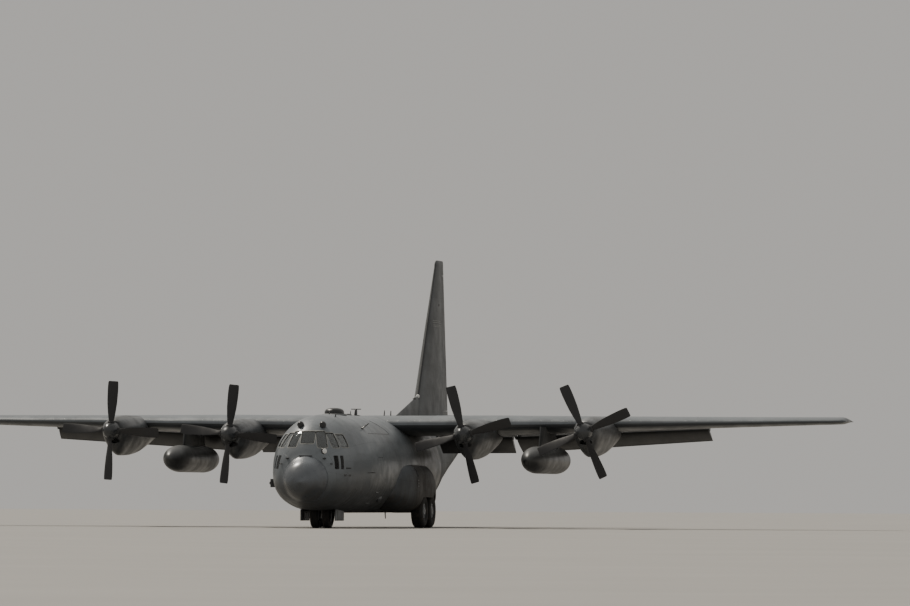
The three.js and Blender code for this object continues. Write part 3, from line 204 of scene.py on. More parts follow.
# Blade rows: radius, chord, thickness, pitch in degrees
BLADE_ROWS = [
    (0.18, 0.2, 0.2, 60), (0.34, 0.21, 0.19, 57), (0.52, 0.3, 0.12, 50), (0.75, 0.37, 0.085, 44),
    (1.1, 0.43, 0.06, 36), (1.4, 0.445, 0.045, 31), (1.7, 0.45, 0.036, 27), (1.9, 0.435, 0.028, 24),
    (2.01, 0.415, 0.022, 22.5), (2.045, 0.38, 0.016, 22), (2.055, 0.34, 0.008, 22),
]
CUFF = [(0.0, 0.26), (0.15, 0.26), (0.15, 0.36), (0.12, 0.4), (0.0, 0.4)]
# Spinner outline: radius, place along the shaft
SPINNER = [
    (0.0, -0.52), (0.04, -0.517), (0.09, -0.505), (0.14, -0.475), (0.2, -0.42), (0.255, -0.335), (0.3, -0.22),
    (0.33, -0.09), (0.346, 0.03), (0.35, 0.12), (0.35, 0.2), (0.343, 0.206), (0.343, 0.214), (0.35, 0.22),
    (0.35, 0.38), (0.34, 0.39), (0.0, 0.39),
]
TANK = Sizes(x=7.6, y=12.9, z=2.84, radius=0.565, length=7.9, cylinder=3.9, seam=0.9)
PYLON = Sizes(front=11.3, rear=15.45, half=0.11, bottom=3.15, top=4.23, slope=0.35)

# Landing gear
NOSE_WHEEL = Sizes(y=4.1, x=0.255, radius=0.495, width=0.32, hub=0.23)
MAIN_WHEEL = Sizes(y=(13.1, 14.7), x=2.175, radius=0.71, width=0.5, hub=0.3)
AXLE = 0.048
HUB_BORE = 0.0486
NOSE_WELL = Sizes(half=0.69, front=3.32, rear=5.0, top=1.65, below=0.3, cut_top=1.2)
NOSE_DOOR = Sizes(gap=0.008, thick=0.04, end_gap=0.06, below=0.3, top=0.76, ribs=(3.5, 3.9, 4.3, 4.7))
TAXI_LAMP = Sizes(x=0.17, z=1.3, front=0.12, rear=0.04, radius=0.075)
# Where the turning fork ends below the fixed strut
FORK_TOP = 1.08
LEG_X = 1.868
WELL_TOP = 1.43
# The main wheels' wells: room outside, inside and round a wheel, and round the legs
WELL = Sizes(outside=0.035, inside=0.05, around=0.08, leg=0.058, ends=0.3, below=0.3)
# Gear fairing rows: station, outer edge, top, bottom
SPONSON_ROWS = [
    (8.4, 1.95, 1.9, 1.2),
    (9.0, 2.22, 2.4, 0.95),
    (10.0, 2.4, 2.74, 0.76),
    (11.4, 2.48, 2.78, 0.64),
    (13.2, 2.48, 2.78, 0.62),
    (14.4, 2.48, 2.74, 0.62),
    (15.3, 2.42, 2.45, 0.66),
    (16.1, 2.19, 1.98, 0.82),
    (16.7, 1.85, 1.55, 1.1),
]
SPONSON_BODY = (8.0, 17.1)
SPONSON_INNER = 1.2
SPONSON_POWER = 0.62


# Meshes


def round_steps(count):
    """Sine and cosine at even steps round a circle."""
    return [(math.sin(a), math.cos(a)) for a in (2 * math.pi * k / count for k in range(count))]


def signed_power(value, power):
    return math.copysign(abs(value) ** power, value)


def linked(data, name="piece"):
    """A new object in the scene from a mesh, a lamp or a camera."""
    obj = bpy.data.objects.new(name, data)
    bpy.context.scene.collection.objects.link(obj)
    return obj


def loft(rings, around=False):
    """A closed body through rings; around joins the last ring to the first instead of capping."""
    count, total = len(rings[0]), len(rings)
    faces = []
    for i in range(total if around else total - 1):
        here, there = i * count, (i + 1) % total * count
        turns = [(j, (j + 1) % count) for j in range(count)]
        faces += [(here + j, here + k, there + k, there + j) for j, k in turns]
    if not around:
        faces += [tuple(range(count)), tuple(range((total - 1) * count, total * count))]
    mesh = bpy.data.meshes.new("piece")
    mesh.from_pydata([tuple(p) for ring in rings for p in ring], [], faces)
    made = bmesh.new()
    made.from_mesh(mesh)
    bmesh.ops.remove_doubles(made, verts=made.verts, dist=1e-6)
    bmesh.ops.recalc_face_normals(made, faces=made.faces)
    made.to_mesh(mesh)
    made.free()
    return linked(mesh)


def lathe(profile, steps=48, axis="y", centre=(0, 0, 0)):
    """A body turned about an axis from a profile of (radius, place along the axis)."""
    order = {"x": (2, 0, 1), "y": (0, 2, 1), "z": (0, 1, 2)}[axis]
    rings = []
    for s, c in round_steps(steps):
        points = [(radius * c, radius * s, along) for radius, along in profile]
        rings.append([Vector([point[i] for i in order]) + Vector(centre) for point in points])
    return loft(rings, around=True)


def block(x0, x1, y0, y1, z0, z1):
    corners = ((x0, y0), (x1, y0), (x1, y1), (x0, y1))
    return loft([[(x, y, z) for x, y in corners] for z in (z0, z1)])


def tube(start, end, radius, sides=20, end_radius=None):
    """A round bar between two points, tapered where end_radius is given."""
    start, end = Vector(start), Vector(end)
    direction = (end - start).normalized()
    helper = Vector((1, 0, 0)) if abs(direction.x) < 0.9 else Vector((0, 1, 0))
    first = direction.cross(helper).normalized()
    second = direction.cross(first)
    ends = ((start, radius), (end, radius if end_radius is None else end_radius))
    return loft([[place + (first * c + second * s) * r for s, c in round_steps(sides)] for place, r in ends])


def strip(places, radius):
    """Thin bars from place to place."""
    return [tube(a, b, radius, 8) for a, b in zip(places, places[1:])]


def combined(parts):
    """Several objects as one, without a boolean."""
    made = bmesh.new()
    for part in parts:
        made.from_mesh(part.data)
        bpy.data.objects.remove(part)
    mesh = bpy.data.meshes.new("piece")
    made.to_mesh(mesh)
    made.free()
    return linked(mesh)


def carve(obj, cutters, operation="DIFFERENCE"):
    """Cuts, joins or intersects an object with others, which are used up."""
    for cutter in cutters:
        modifier = obj.modifiers.new("carve", "BOOLEAN")
        modifier.operation = operation
        modifier.solver = "MANIFOLD"
        modifier.object = cutter
    graph = bpy.context.evaluated_depsgraph_get()
    mesh = bpy.data.meshes.new_from_object(obj.evaluated_get(graph))
    obj.modifiers.clear()
    obj.data = mesh
    for cutter in cutters:
        bpy.data.objects.remove(cutter)
    return obj


def keep_longest(obj):
    """Leaves only the longest of the separate bodies of an object."""
    made = bmesh.new()
    made.from_mesh(obj.data)
    islands, seen = [], set()
    for vert in made.verts:
        if vert in seen:
            continue
        island = [vert]
        seen.add(vert)
        for found in island:
            near = [edge.other_vert(found) for edge in found.link_edges]
            island += [other for other in near if other not in seen]
            seen.update(near)
        islands.append(island)
    islands.sort(key=lambda island: max(v.co.y for v in island) - min(v.co.y for v in island))
    bmesh.ops.delete(made, geom=[v for island in islands[:-1] for v in island], context="VERTS")
    made.to_mesh(obj.data)
    made.free()
    return obj


def moved(obj, matrix):
    obj.data.transform(matrix)
    return obj


def flipped(obj):
    """Turns an object into its mirror image on the other side of the plane."""
    moved(obj, Matrix.Scale(-1, 4, (1, 0, 0)))
    obj.data.flip_normals()
    return obj


def mirrored(obj):
    return flipped(linked(obj.data.copy()))


def dress(obj, name, material, slot, *replaces, body="airframe", angle=SHARP_ANGLE):
    """Brings a finished piece into the model's frame with its material and body; the slot is not used."""
    obj.name = name
    obj.data.name = name
    obj.data.transform(TO_MODEL)
    obj.data.materials.clear()
    obj.data.materials.append(material)
    obj.data.shade_smooth()
    obj.data.set_sharp_from_angle(angle=math.radians(angle))
    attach(obj, body)
    if replaces:
        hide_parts(*replaces)


def on_both_sides(obj, name, material, slot, *replaces, body="airframe"):
    """A port piece and its mirror image; {} in the names stands for the side."""
    other = mirrored(obj)
    for side, piece in (("port", obj), ("starboard", other)):
        nodes = [node.format(side) for node in replaces]
        dress(piece, name.format(side), material, slot, *nodes, body=body.format(side))


# Materials


class Look:
    """A material under construction, with short ways to add and join its nodes."""

    def __init__(self, name):
        self.material = bpy.data.materials.new(name)
        self.material.use_nodes = True
        self.tree = self.material.node_tree
        self.tree.nodes.clear()
        output = self.node("OutputMaterial")
        self.shader = self.node("BsdfPrincipled")
        self.feed(output.inputs["Surface"], self.shader.outputs["BSDF"])
        coords = self.node("TexCoord")
        self.place = coords.outputs["Object"]
        split, lean = self.node("SeparateXYZ"), self.node("SeparateXYZ")
        self.feed(split.inputs[0], self.place)
        self.feed(lean.inputs[0], coords.outputs["Normal"])
        self.x, self.y, self.z = split.outputs
        self.aft, self.rise = lean.outputs[1], lean.outputs[2]

    def node(self, kind, **values):
        """A new node with its inputs set or joined by name; an underscore stands for a space."""
        made = self.tree.nodes.new("ShaderNode" + kind)
        for key, value in values.items():
            self.feed(made.inputs[key.replace("_", " ")], value)
        return made

    def feed(self, socket, value):
        if isinstance(value, bpy.types.NodeSocket):
            self.tree.links.new(value, socket)
        else:
            socket.default_value = (*value, 1) if socket.type == "RGBA" else value

    def math(self, operation, a, b, clamp=False):
        made = self.node("Math")
        made.operation = operation
        made.use_clamp = clamp
        self.feed(made.inputs[0], a)
        self.feed(made.inputs[1], b)
        return made.outputs[0]

    def times(self, a, b, clamp=False):
        return self.math("MULTIPLY", a, b, clamp)

    def vector(self, x, y):
        return self.node("CombineXYZ", X=x, Y=y).outputs[0]

    def stretched(self, x, y, z):
        return self.node("Mapping", Vector=self.place, Scale=(x, y, z)).outputs[0]

    def noise(self, scale, detail=4.0, rough=0.6, vector=None):
        return self.node("TexNoise", Vector=vector or self.place, Scale=scale, Detail=detail,
                         Roughness=rough).outputs[0]

    def spots(self, scale):
        return self.node("TexVoronoi", Vector=self.place, Scale=scale).outputs["Distance"]

    def between(self, value, low, high, start=0.0, end=1.0):
        made = self.node("MapRange")
        made.interpolation_type = "SMOOTHSTEP"
        for socket, number in zip(made.inputs, (value, low, high, start, end)):
            self.feed(socket, number)
        return made.outputs[0]

    def blend(self, share, first, second):
        made = self.node("Mix")
        made.data_type = "RGBA"
        self.feed(made.inputs["Factor"], share)
        colours = [socket for socket in made.inputs if socket.type == "RGBA"]
        self.feed(colours[0], first)
        self.feed(colours[1], second)
        return [socket for socket in made.outputs if socket.type == "RGBA"][0]

    def panels(self, vector, width, height, line, offset=0.5):
        """Joint lines between skin panels: a factor that is 1 on the lines, and a tint per panel."""
        made = self.node("TexBrick", Vector=vector, Scale=1.0, Mortar_Size=line, Mortar_Smooth=0.3,
                         Brick_Width=width, Row_Height=height, Color1=(0, 0, 0), Color2=(1, 1, 1),
                         Mortar=(0.5, 0.5, 0.5))
        made.offset = offset
        return made.outputs["Fac"], made.outputs["Color"]

    def bump(self, height, distance, strength, **others):
        return self.node("Bump", Height=height, Distance=distance, Strength=strength, **others).outputs[0]

    def finish(self, colour, rough, normal, metallic=0.0, **others):
        """Sets or joins the shader's own inputs and gives the material."""
        values = dict(others, Base_Color=colour, Roughness=rough, Metallic=metallic, Normal=normal)
        for key, value in values.items():
            self.feed(self.shader.inputs[key.replace("_", " ")], value)
        return self.material


# Fuselage shapes


def slope_at(rows, i, column):
    """Slope of a column at a row, or nothing at the first and the last row."""
    if i in (0, len(rows) - 1):
        return None
    before = (rows[i][column] - rows[i - 1][column]) / (rows[i][0] - rows[i - 1][0])
    after = (rows[i + 1][column] - rows[i][column]) / (rows[i + 1][0] - rows[i][0])
    return 0 if before * after <= 0 else 2 * before * after / (before + after)


def rows_at(rows, y):
    """Smooth values between the rows, without overshoot."""
    i = max(1, next((k for k, row in enumerate(rows) if row[0] >= y), len(rows) - 1))
    low, high = rows[i - 1], rows[i]
    span = high[0] - low[0]
    t = min(max((y - low[0]) / span, 0), 1)
    values = []
    for k in range(1, len(low)):
        chord = (high[k] - low[k]) / span
        slopes = (slope_at(rows, i - 1, k), slope_at(rows, i, k))
        a, b = (span * (chord if slope is None else slope) for slope in slopes)
        values.append((2 * t**3 - 3 * t**2 + 1) * low[k] + (t**3 - 2 * t**2 + t) * a
                      + (3 * t**2 - 2 * t**3) * high[k] + (t**3 - t**2) * b)
    return values


def body_ring(y, inset=0):
    half, top, bottom, mid, fullness = rows_at(BODY_ROWS, y)
    ring = []
    for s, c in round_steps(BODY_SIDES):
        upper = c >= -ROUNDING
        power = 1 if upper else 2 / fullness
        reach = (top - mid if upper else mid - bottom) - inset
        x, z = (half - inset) * signed_power(s, power), mid + reach * signed_power(c, power)
        ring.append(Vector((x, y, z)))
    return ring


def half_width(y, z):
    half, top, bottom, mid, fullness = rows_at(BODY_ROWS, y)
    upper = z > mid
    depth = abs(z - mid) / ((top - mid) if upper else (mid - bottom))
    power = 2 if upper else fullness
    return half * max(1 - depth**power, 0) ** (1 / power)


def skin_height(y, x):
    """Height of the roof of the fuselage at a place."""
    half, top, _, mid, _ = rows_at(BODY_ROWS, y)
    return mid + (top - mid) * math.sqrt(max(1 - (x / half) ** 2, 0))


def stations(start, end, step):
    count = max(1, math.ceil((end - start) / step))
    return [start + (end - start) * i / count for i in range(count + 1)]


def body_solid(start, end, step, inset=0):
    """A length of the fuselage as a solid."""
    return loft([body_ring(y, inset) for y in stations(start, end, step)])


def tube_shell(start, end, step, outer=0.0, inner=BODY_WALL):
    """A length of the fuselage as a hollow shell between two insets."""
    outside = [body_ring(y, outer) for y in stations(start, end, step)]
    inside = [body_ring(y, inner) for y in stations(start, end, step * 3)]
    return loft(outside + inside[::-1], around=True)


def rounded(width, height, radius):
    """Corner points of an upright rectangle with round corners, about its middle."""
    points = []
    for sx, sy, start in ((1, 1, 0), (-1, 1, 90), (-1, -1, 180), (1, -1, 270)):
        for turn in range(0, 91, 18):
            angle = math.radians(start + turn)
            points.append((sx * (width / 2 - radius) + radius * math.cos(angle),
                           sy * (height / 2 - radius) + radius * math.sin(angle)))
    return points


def pane_cutters(grow=0.0):
    """Prisms through the fuselage wall at each window of the flight deck."""
    cutters = []
    for across, along, turn, width, low, high in PANES:
        outline = rounded(width + 2 * grow, high - low + 2 * grow, PANE_CORNER + grow)
        for sign in (1, -1) if across else (1,):
            pane = loft([[Vector((a, y, (low + high) / 2 + b)) for a, b in outline] for y in PANE_REACH])
            turned = Matrix.Rotation(math.radians(sign * turn), 4, "Z")
            cutters.append(moved(pane, Matrix.Translation((sign * across, along, 0)) @ turned))
    size = FOOT_WINDOW
    outline = rounded(size.length + 2 * grow, size.height + 2 * grow, size.corner + grow)
    for along in FOOT_WINDOWS:
        leaning = [(along + a + size.lean * b, size.middle + b) for a, b in outline]
        pane = loft([[Vector((x, y, z)) for y, z in leaning] for x in size.reach])
        cutters += [pane, mirrored(pane)]
    return cutters


def window_band(outer, inner, grow, hole=None):
    """What a thin shell of the nose has inside the windows, less what is inside the smaller holes."""
    shell = tube_shell(*WINDOW_STATIONS, 0.05, outer, inner)
    joined, *others = pane_cutters(grow)
    carve(shell, [carve(joined, others, "UNION")], "INTERSECT")
    for cutter in [] if hole is None else pane_cutters(hole):
        carve(shell, [cutter])
    return shell


def door_block(door, grow):
    front, rear, low, high = door
    return block(*DOOR_REACH, front - grow, rear + grow, low - grow, high + grow)


def door_leaf(door):
    shell = tube_shell(door[0] - DOOR_MARGIN, door[1] + DOOR_MARGIN, 0.1)
    return carve(shell, [door_block(door, 0)], "INTERSECT")


def side_prism(points, half):
    return loft([[Vector((x, y, z)) for y, z in points] for x in (-half, half)])


def ramp_rear(z):
    return RAMP.rear - RAMP_LEAN * (z - RAMP_LEAN_FROM)


def ramp_prism(grow):
    front, top = CENTRE_END + RUNNING_GAP - grow, RAMP.rear_top + grow
    foot = RAMP.below
    return side_prism([(front, foot), (ramp_rear(foot) + grow, foot), (ramp_rear(top) + grow, top),
                       (front, RAMP.front_top + grow)], RAMP.half + grow)


def cargo_prism(grow):
    edge, top = RUNNING_GAP - grow, CARGO_DOOR.front_top
    rear = CARGO_DOOR.rear + (CARGO_DOOR.rear_gap if grow else 0)
    foot = CARGO_DOOR.below
    return side_prism([(ramp_rear(foot) + edge, foot), (rear, foot), (rear, CARGO_DOOR.top + grow),
                       (ramp_rear(top) + edge, top)], CARGO_DOOR.half + grow)


def well_cutters():
    wheel = MAIN_WHEEL
    outer, inner = wheel.x + wheel.width / 2 + WELL.outside, wheel.x - wheel.width / 2 - WELL.inside
    arches = [tube((inner, y, wheel.radius), (outer, y, wheel.radius), wheel.radius + WELL.around, 72)
              for y in wheel.y]
    front, rear = wheel.y
    slot = block(LEG_X - WELL.leg, outer, front - WELL.ends, rear + WELL.ends, WELL.below, WELL_TOP)
    return arches + [slot]


# Wing and tail shapes


def cosine_steps(count):
    """Shares from 0 to 1 that lie closer together at both ends."""
    return [0.5 - 0.5 * math.cos(math.pi * k / count) for k in range(count + 1)]


CHORD_STEPS = cosine_steps(22)


def half_thickness(f, thick):
    return 5 * thick * (0.2969 * math.sqrt(f) - 0.126 * f - 0.3516 * f**2 + 0.2843 * f**3 - 0.1036 * f**4)


def mix(a, b, t):
    return a + (b - a) * t


def section_between(low, high, along):
    t = (along - low["along"]) / (high["along"] - low["along"])
    return {key: mix(low[key], high[key], t) for key in low}


def wing_section(x):
    ends = (WING_ROOT, WING_BREAK) if x <= WING_JOINT else (WING_BREAK, WING_TIP)
    section = section_between(*ends, x)
    return dict(section, lead=WING_QUARTER - section["chord"] / 4, camber=CAMBER, hinge=AILERON_FRACTION)


def stab_section(x):
    return section_between(STAB_ROOT, STAB_TIP, x)


def fin_section(z):
    return section_between(FIN_ROOT, FIN_TIP, z)


def tip_section(section, share, tip, thick=None):
    """A section near a rounded tip: thinner, with a later front and a shorter chord as the share falls."""
    return dict(section, thick=section["thick"] * (share if thick is None else thick),
                lead=section["lead"] + (1 - share) * tip.lead,
                chord=section["chord"] - (1 - share) * tip.chord)


def surface_point(section, f, side, extra=0.0):
    """Place on a section: chord fraction, side (1 upper, -1 lower, 0 middle) and a distance outwards."""
    chord = section["chord"]
    twist = math.tan(math.radians(section.get("twist", 0)))
    bow = 4 * section.get("camber", 0) * f * (1 - f)
    half = max(half_thickness(min(max(f, 0), 1), section["thick"]) * chord, EDGE_HALF)
    y = section["lead"] + f * chord
    return y, section.get("z", 0) + (0.25 - f) * chord * twist + bow * chord + side * (half + extra)


def whole_section(section):
    upper, lower = ([surface_point(section, f, side) for f in CHORD_STEPS[1:]] for side in (1, -1))
    return upper[::-1] + [surface_point(section, 0, 0)] + lower


def flat_ring(section, along):
    return [Vector((along, y, z)) for y, z in whole_section(section)]


def upright_ring(section, height):
    return [Vector((across, y, height)) for y, across in whole_section(section)]


def wing_piece(places):
    return loft([flat_ring(wing_section(abs(x)), x) for x in places])


def hinge_point(hinge, along):
    at, axis = hinge
    return at + axis * ((along - at.x) / axis.x)


def line_hinge(point_at, start, end):
    """A hinge through two places, as its middle and its direction."""
    a, b = (Vector((x, *point_at(x))) for x in (start, end))
    return (a + b) / 2, (b - a).normalized()


def square_ring(points, along, hinge):
    """A ring whose plane is square to a hinge that runs through it."""
    _, s, v = hinge[1] / hinge[1].x
    at = hinge_point(hinge, along)
    return [Vector((along - s * (y - at.y) - v * (z - at.z), y, z)) for y, z in points]


def hinged_strip(points_at, start, end, hinge):
    return loft([square_ring(points_at(x), x, hinge) for x in (start, end)])


def control_hinge(section):
    """The hinge of a control surface and the radius of the nose round it."""
    middle, upper = (surface_point(section, section["hinge"], side) for side in (0, 1))
    return middle, upper[1] - middle[1] - NOSE_INSET


def arc(centre, radius, degrees):
    angles = [math.radians(turn) for turn in degrees]
    return [(centre[0] + radius * math.cos(a), centre[1] + radius * math.sin(a)) for a in angles]


def control_section(section):
    """The rear part of a section with a round nose about its hinge."""
    hinge, radius = control_hinge(section)
    steps = [mix(section["hinge"], 1, k / 8) for k in range(1, 9)]
    upper, lower = ([surface_point(section, f, side, -CONTROL_INSET) for f in steps] for side in (1, -1))
    return upper[::-1] + arc(hinge, radius, range(90, 271, 15)) + lower


def control_cove(section):
    """What is cut out of a surface for its control: everything behind a hollow round the hinge."""
    hinge, radius = control_hinge(section)
    radius += RUNNING_GAP
    corner = radius / math.cos(math.radians(COVE_STEP / 2))
    hollow = arc(hinge, corner, [180 + step * COVE_STEP for step in range(-3, 4)])
    lip, far = hollow[0][0], hinge[0] + section["chord"] * (1 - section["hinge"]) + COVE_MARGIN.aft
    low, high = (hinge[1] + side * (radius + COVE_MARGIN.rise) for side in (-1, 1))
    return [(far, high), (lip, high)] + hollow + [(lip, low), (far, low)]


def control_line(section_at, start, end):
    return line_hinge(lambda x: control_hinge(section_at(x))[0], start, end)


def control_cut(section_at, start, end):
    """The room that a control surface turns in."""
    hinge = control_line(section_at, start, end)
    return hinged_strip(lambda x: control_cove(section_at(x)), start - RUNNING_GAP, end + RUNNING_GAP, hinge)


def control_surface(section_at, start, end):
    hinge = control_line(section_at, start, end)
    surface = hinged_strip(lambda x: control_section(section_at(x)), start, end, hinge)
    return pinned(surface, hinge[1], [hinge_point(hinge, x) for x in (start, end)])


def pinned(surface, axis, ends):
    """A control surface with a pin at each end that reaches across the running gap."""
    first, last = ends
    pins = [tube(first - axis * PIN_REACH, first + axis * PIN_DEPTH, CONTROL_PIN),
            tube(last - axis * PIN_DEPTH, last + axis * PIN_REACH, CONTROL_PIN)]
    return combined([surface] + pins)


def flap_nose(section):
    y, low = surface_point(section, FLAP_FRACTION, -1)
    return y, low + FLAP_THICK * section["chord"] * (1 - FLAP_FRACTION) / 2


def flap_section(section):
    nose, tail = flap_nose(section), surface_point(section, 1, 0)

    def point(f, side):
        half = max(half_thickness(f, FLAP_THICK) * (tail[0] - nose[0]), EDGE_HALF)
        return mix(nose[0], tail[0], f), mix(nose[1], tail[1], f) + side * half

    steps = CHORD_STEPS[2::2]
    return [point(f, 1) for f in steps][::-1] + [nose] + [point(f, -1) for f in steps]


def cove_roof(section):
    """The roof of a flap's cove: where it starts, and the lip that it ends at."""
    return (surface_point(section, COVE_FRACTION, 1, -COVE_SKIN),
            surface_point(section, SHROUD_FRACTION, 1, -SHROUD_SKIN))


def flap_seal(section):
    """A thin strip along the top of a flap's nose, as high as the roof of the cove allows."""
    nose_y, nose_z = flap_nose(section)
    front = nose_y + SEAL_FRACTION * section["chord"] * (1 - FLAP_FRACTION)
    (cove_y, cove_top), (lip_y, lip_low) = cove_roof(section)
    top = mix(cove_top, lip_low, (front - cove_y) / (lip_y - cove_y)) - SEAL_CLEARANCE
    rear = front + SEAL_THICK
    return [(front, nose_z), (rear, nose_z), (rear, top), (front, top)]


def flap_cove(section):
    (cove_y, cove_top), (lip_y, lip_low) = cove_roof(section)
    cove_low = surface_point(section, COVE_FRACTION, -1, COVE_SKIN)[1]
    lip_top = surface_point(section, SHROUD_FRACTION, 1, FLAP_CUT.rise)[1]
    end = section["lead"] + section["chord"] * FLAP_CUT.aft
    return [(cove_y, cove_top), (lip_y, lip_low), (lip_y, lip_top), (end, lip_top),
            (end, cove_low - FLAP_CUT.fall), (cove_y, cove_low)]


def flap_hinge(start, end):
    def pivot(x):
        section = wing_section(x)
        nose = flap_nose(section)
        return [place - drop * section["chord"] / WING_ROOT["chord"] for place, drop in zip(nose, FLAP_PIVOT)]
    return line_hinge(pivot, start, end)


def flap_pin(x, hinge):
    section = wing_section(x)
    y, z = flap_nose(section)
    return square_ring([(y + FLAP_PIN_FRACTION * section["chord"], z)], x, hinge)[0]


def track_rib(x, step, hinge):
    """The rib beside a flap's end that carries its pin from flap up to flap down."""
    def outline(along):
        share = wing_section(along)["chord"] / WING_ROOT["chord"]
        up, pivot = flap_pin(along, hinge), hinge_point(hinge, along)
        down = Matrix.Rotation(math.radians(-FLAP_DOWN), 3, hinge[1]) @ (up - pivot) + pivot
        places = [(up, -0.16, 0.03), (down, 0.11, 0.33), (down, 0.07, -0.01), (down, 0.02, -0.07),
                  (down, -0.06, -0.07), (up, -0.16, -0.07)]
        return [(start.y + y * share, start.z + z * share) for start, y, z in places]
    ends = [x + step * RUNNING_GAP, x + step * (RUNNING_GAP + RIB_THICK)]
    return hinged_strip(outline, min(ends), max(ends), hinge)


def flap_ribs(start, end):
    hinge = flap_hinge(start, end)
    return [track_rib(start, -1, hinge), track_rib(end, 1, hinge)]


def flap_cut(start, end):
    hinge = flap_hinge(start, end)
    return hinged_strip(lambda x: flap_cove(wing_section(x)), start - RUNNING_GAP, end + RUNNING_GAP, hinge)


def lowered_flap(start, end):
    """A flap with its seal and its pins, turned down about its hinge."""
    hinge = flap_hinge(start, end)
    parts = [hinged_strip(lambda x: shape(wing_section(x)), start, end, hinge)
             for shape in (flap_section, flap_seal)]
    flap = pinned(combined(parts), hinge[1], [flap_pin(x, hinge) for x in (start, end)])
    turn = Matrix.Rotation(math.radians(-FLAP_DOWN), 4, hinge[1])
    return moved(flap, Matrix.Translation(hinge[0]) @ turn @ Matrix.Translation(-hinge[0]))


def make_wing(paint, dark_paint):
    inner, outer = (places for _, *places in FLAPS)
    end = WING_JOINT - SEAT_GAP / 2
    cut, ribs = flap_cut(*inner), flap_ribs(*inner)
    centre = carve(wing_piece((-end, 0, end)), [mirrored(cut), cut])
    ribs += [mirrored(rib) for rib in ribs]
    dress(combined([centre] + ribs), "centre_wing_skin", paint, "wing_paint", "centre_wing")

    tip = WING_TIP["along"]
    rings = [flat_ring(wing_section(x), x) for x in stations(WING_JOINT + SEAT_GAP / 2, tip, 1.8)]
    for out in WING_ROUND.places:
        share = math.sqrt(1 - (out / WING_ROUND.length) ** 2)
        rings.append(flat_ring(tip_section(wing_section(tip), share, WING_ROUND), tip + out))
    panel = carve(loft(rings), [flap_cut(*outer), control_cut(wing_section, *AILERON)])
    on_both_sides(combined([panel] + flap_ribs(*outer)), "outer_wing_skin_{}", paint, "wing_paint",
                  "outer_wing_{}")
    aileron = control_surface(wing_section, *AILERON)
    on_both_sides(aileron, "aileron_skin_{}", paint, "wing_paint", "aileron_{}", body="aileron_{}")
    for name, *places in FLAPS:
        node = name + "_{}"
        on_both_sides(lowered_flap(*places), name + "_skin_{}", dark_paint, "wing_paint", node, body=node)


def make_tail(stab_paint, fin_shaded_paint):
    rings = [flat_ring(stab_section(x), x) for x in stations(0, STAB_TIP["along"], 1.6)]
    for out, share in STAB_ROUND.places:
        rings.append(flat_ring(tip_section(STAB_TIP, share, STAB_ROUND), STAB_TIP["along"] + out))
    other = [[Vector((-p.x, p.y, p.z)) for p in ring] for ring in rings[:0:-1]]
    cove = control_cut(stab_section, *ELEVATOR)
    tailplane = carve(loft(other + rings), [mirrored(cove), cove])
    dress(tailplane, "tailplane_skin", stab_paint, "tail_paint", "tailplane")
    elevator = control_surface(stab_section, *ELEVATOR)
    on_both_sides(elevator, "elevator_skin_{}", stab_paint, "tail_paint", "elevator_{}", body="elevator_{}")

    def hinge_y(z):
        return control_hinge(fin_section(z))[0][0]

    low, high = RUDDER
    start, end = (Vector((0, hinge_y(z), z)) for z in RUDDER)
    axis = (end - start).normalized()
    lean = axis.y / axis.z

    def upright_strip(build, bottom, top):
        return loft([[Vector((across, y, z - lean * (y - hinge_y(z)))) for y, across in build(fin_section(z))]
                     for z in (bottom, top)])

    rings = [upright_ring(fin_section(z), z) for z in stations(FIN_ROOT["along"], FIN_TIP["along"], 1)]
    for k in range(1, FIN_ROUND.steps + 1):
        share = math.cos(math.pi / 2 * k / FIN_ROUND.last)
        rise = math.sin(math.pi / 2 * k / FIN_ROUND.steps)
        section = tip_section(FIN_TIP, share, FIN_ROUND, thick=mix(FIN_ROUND.thin, 1, share))
        rings.append(upright_ring(section, mix(FIN_TIP["along"], FIN_TOP, rise)))
    fin = carve(loft(rings), [upright_strip(control_cove, low - RUNNING_GAP, high + RUNNING_GAP)])
    rings = []
    for y in stations(DORSAL.front, DORSAL.rear, 0.2):
        t = (y - DORSAL.front) / (DORSAL.rear - DORSAL.front)
        half = mix(DORSAL.front_half, DORSAL.rear_half, t**0.8)
        top = mix(DORSAL.front_top, DORSAL.rear_top, t)
        angles = [math.pi / 2 * k / 8 for k in range(8, -9, -1)]
        rings.append([Vector((half * math.sin(a), y, mix(DORSAL.foot, top, math.cos(a)))) for a in angles])
    dress(combined([fin, loft(rings)]), "fin_skin", fin_shaded_paint, "tail_paint", "fin")
    rudder = pinned(upright_strip(control_section, low, high), axis, (start, end))
    dress(rudder, "rudder_skin", fin_shaded_paint, "tail_paint", "rudder", body="rudder")


# Fuselage pieces


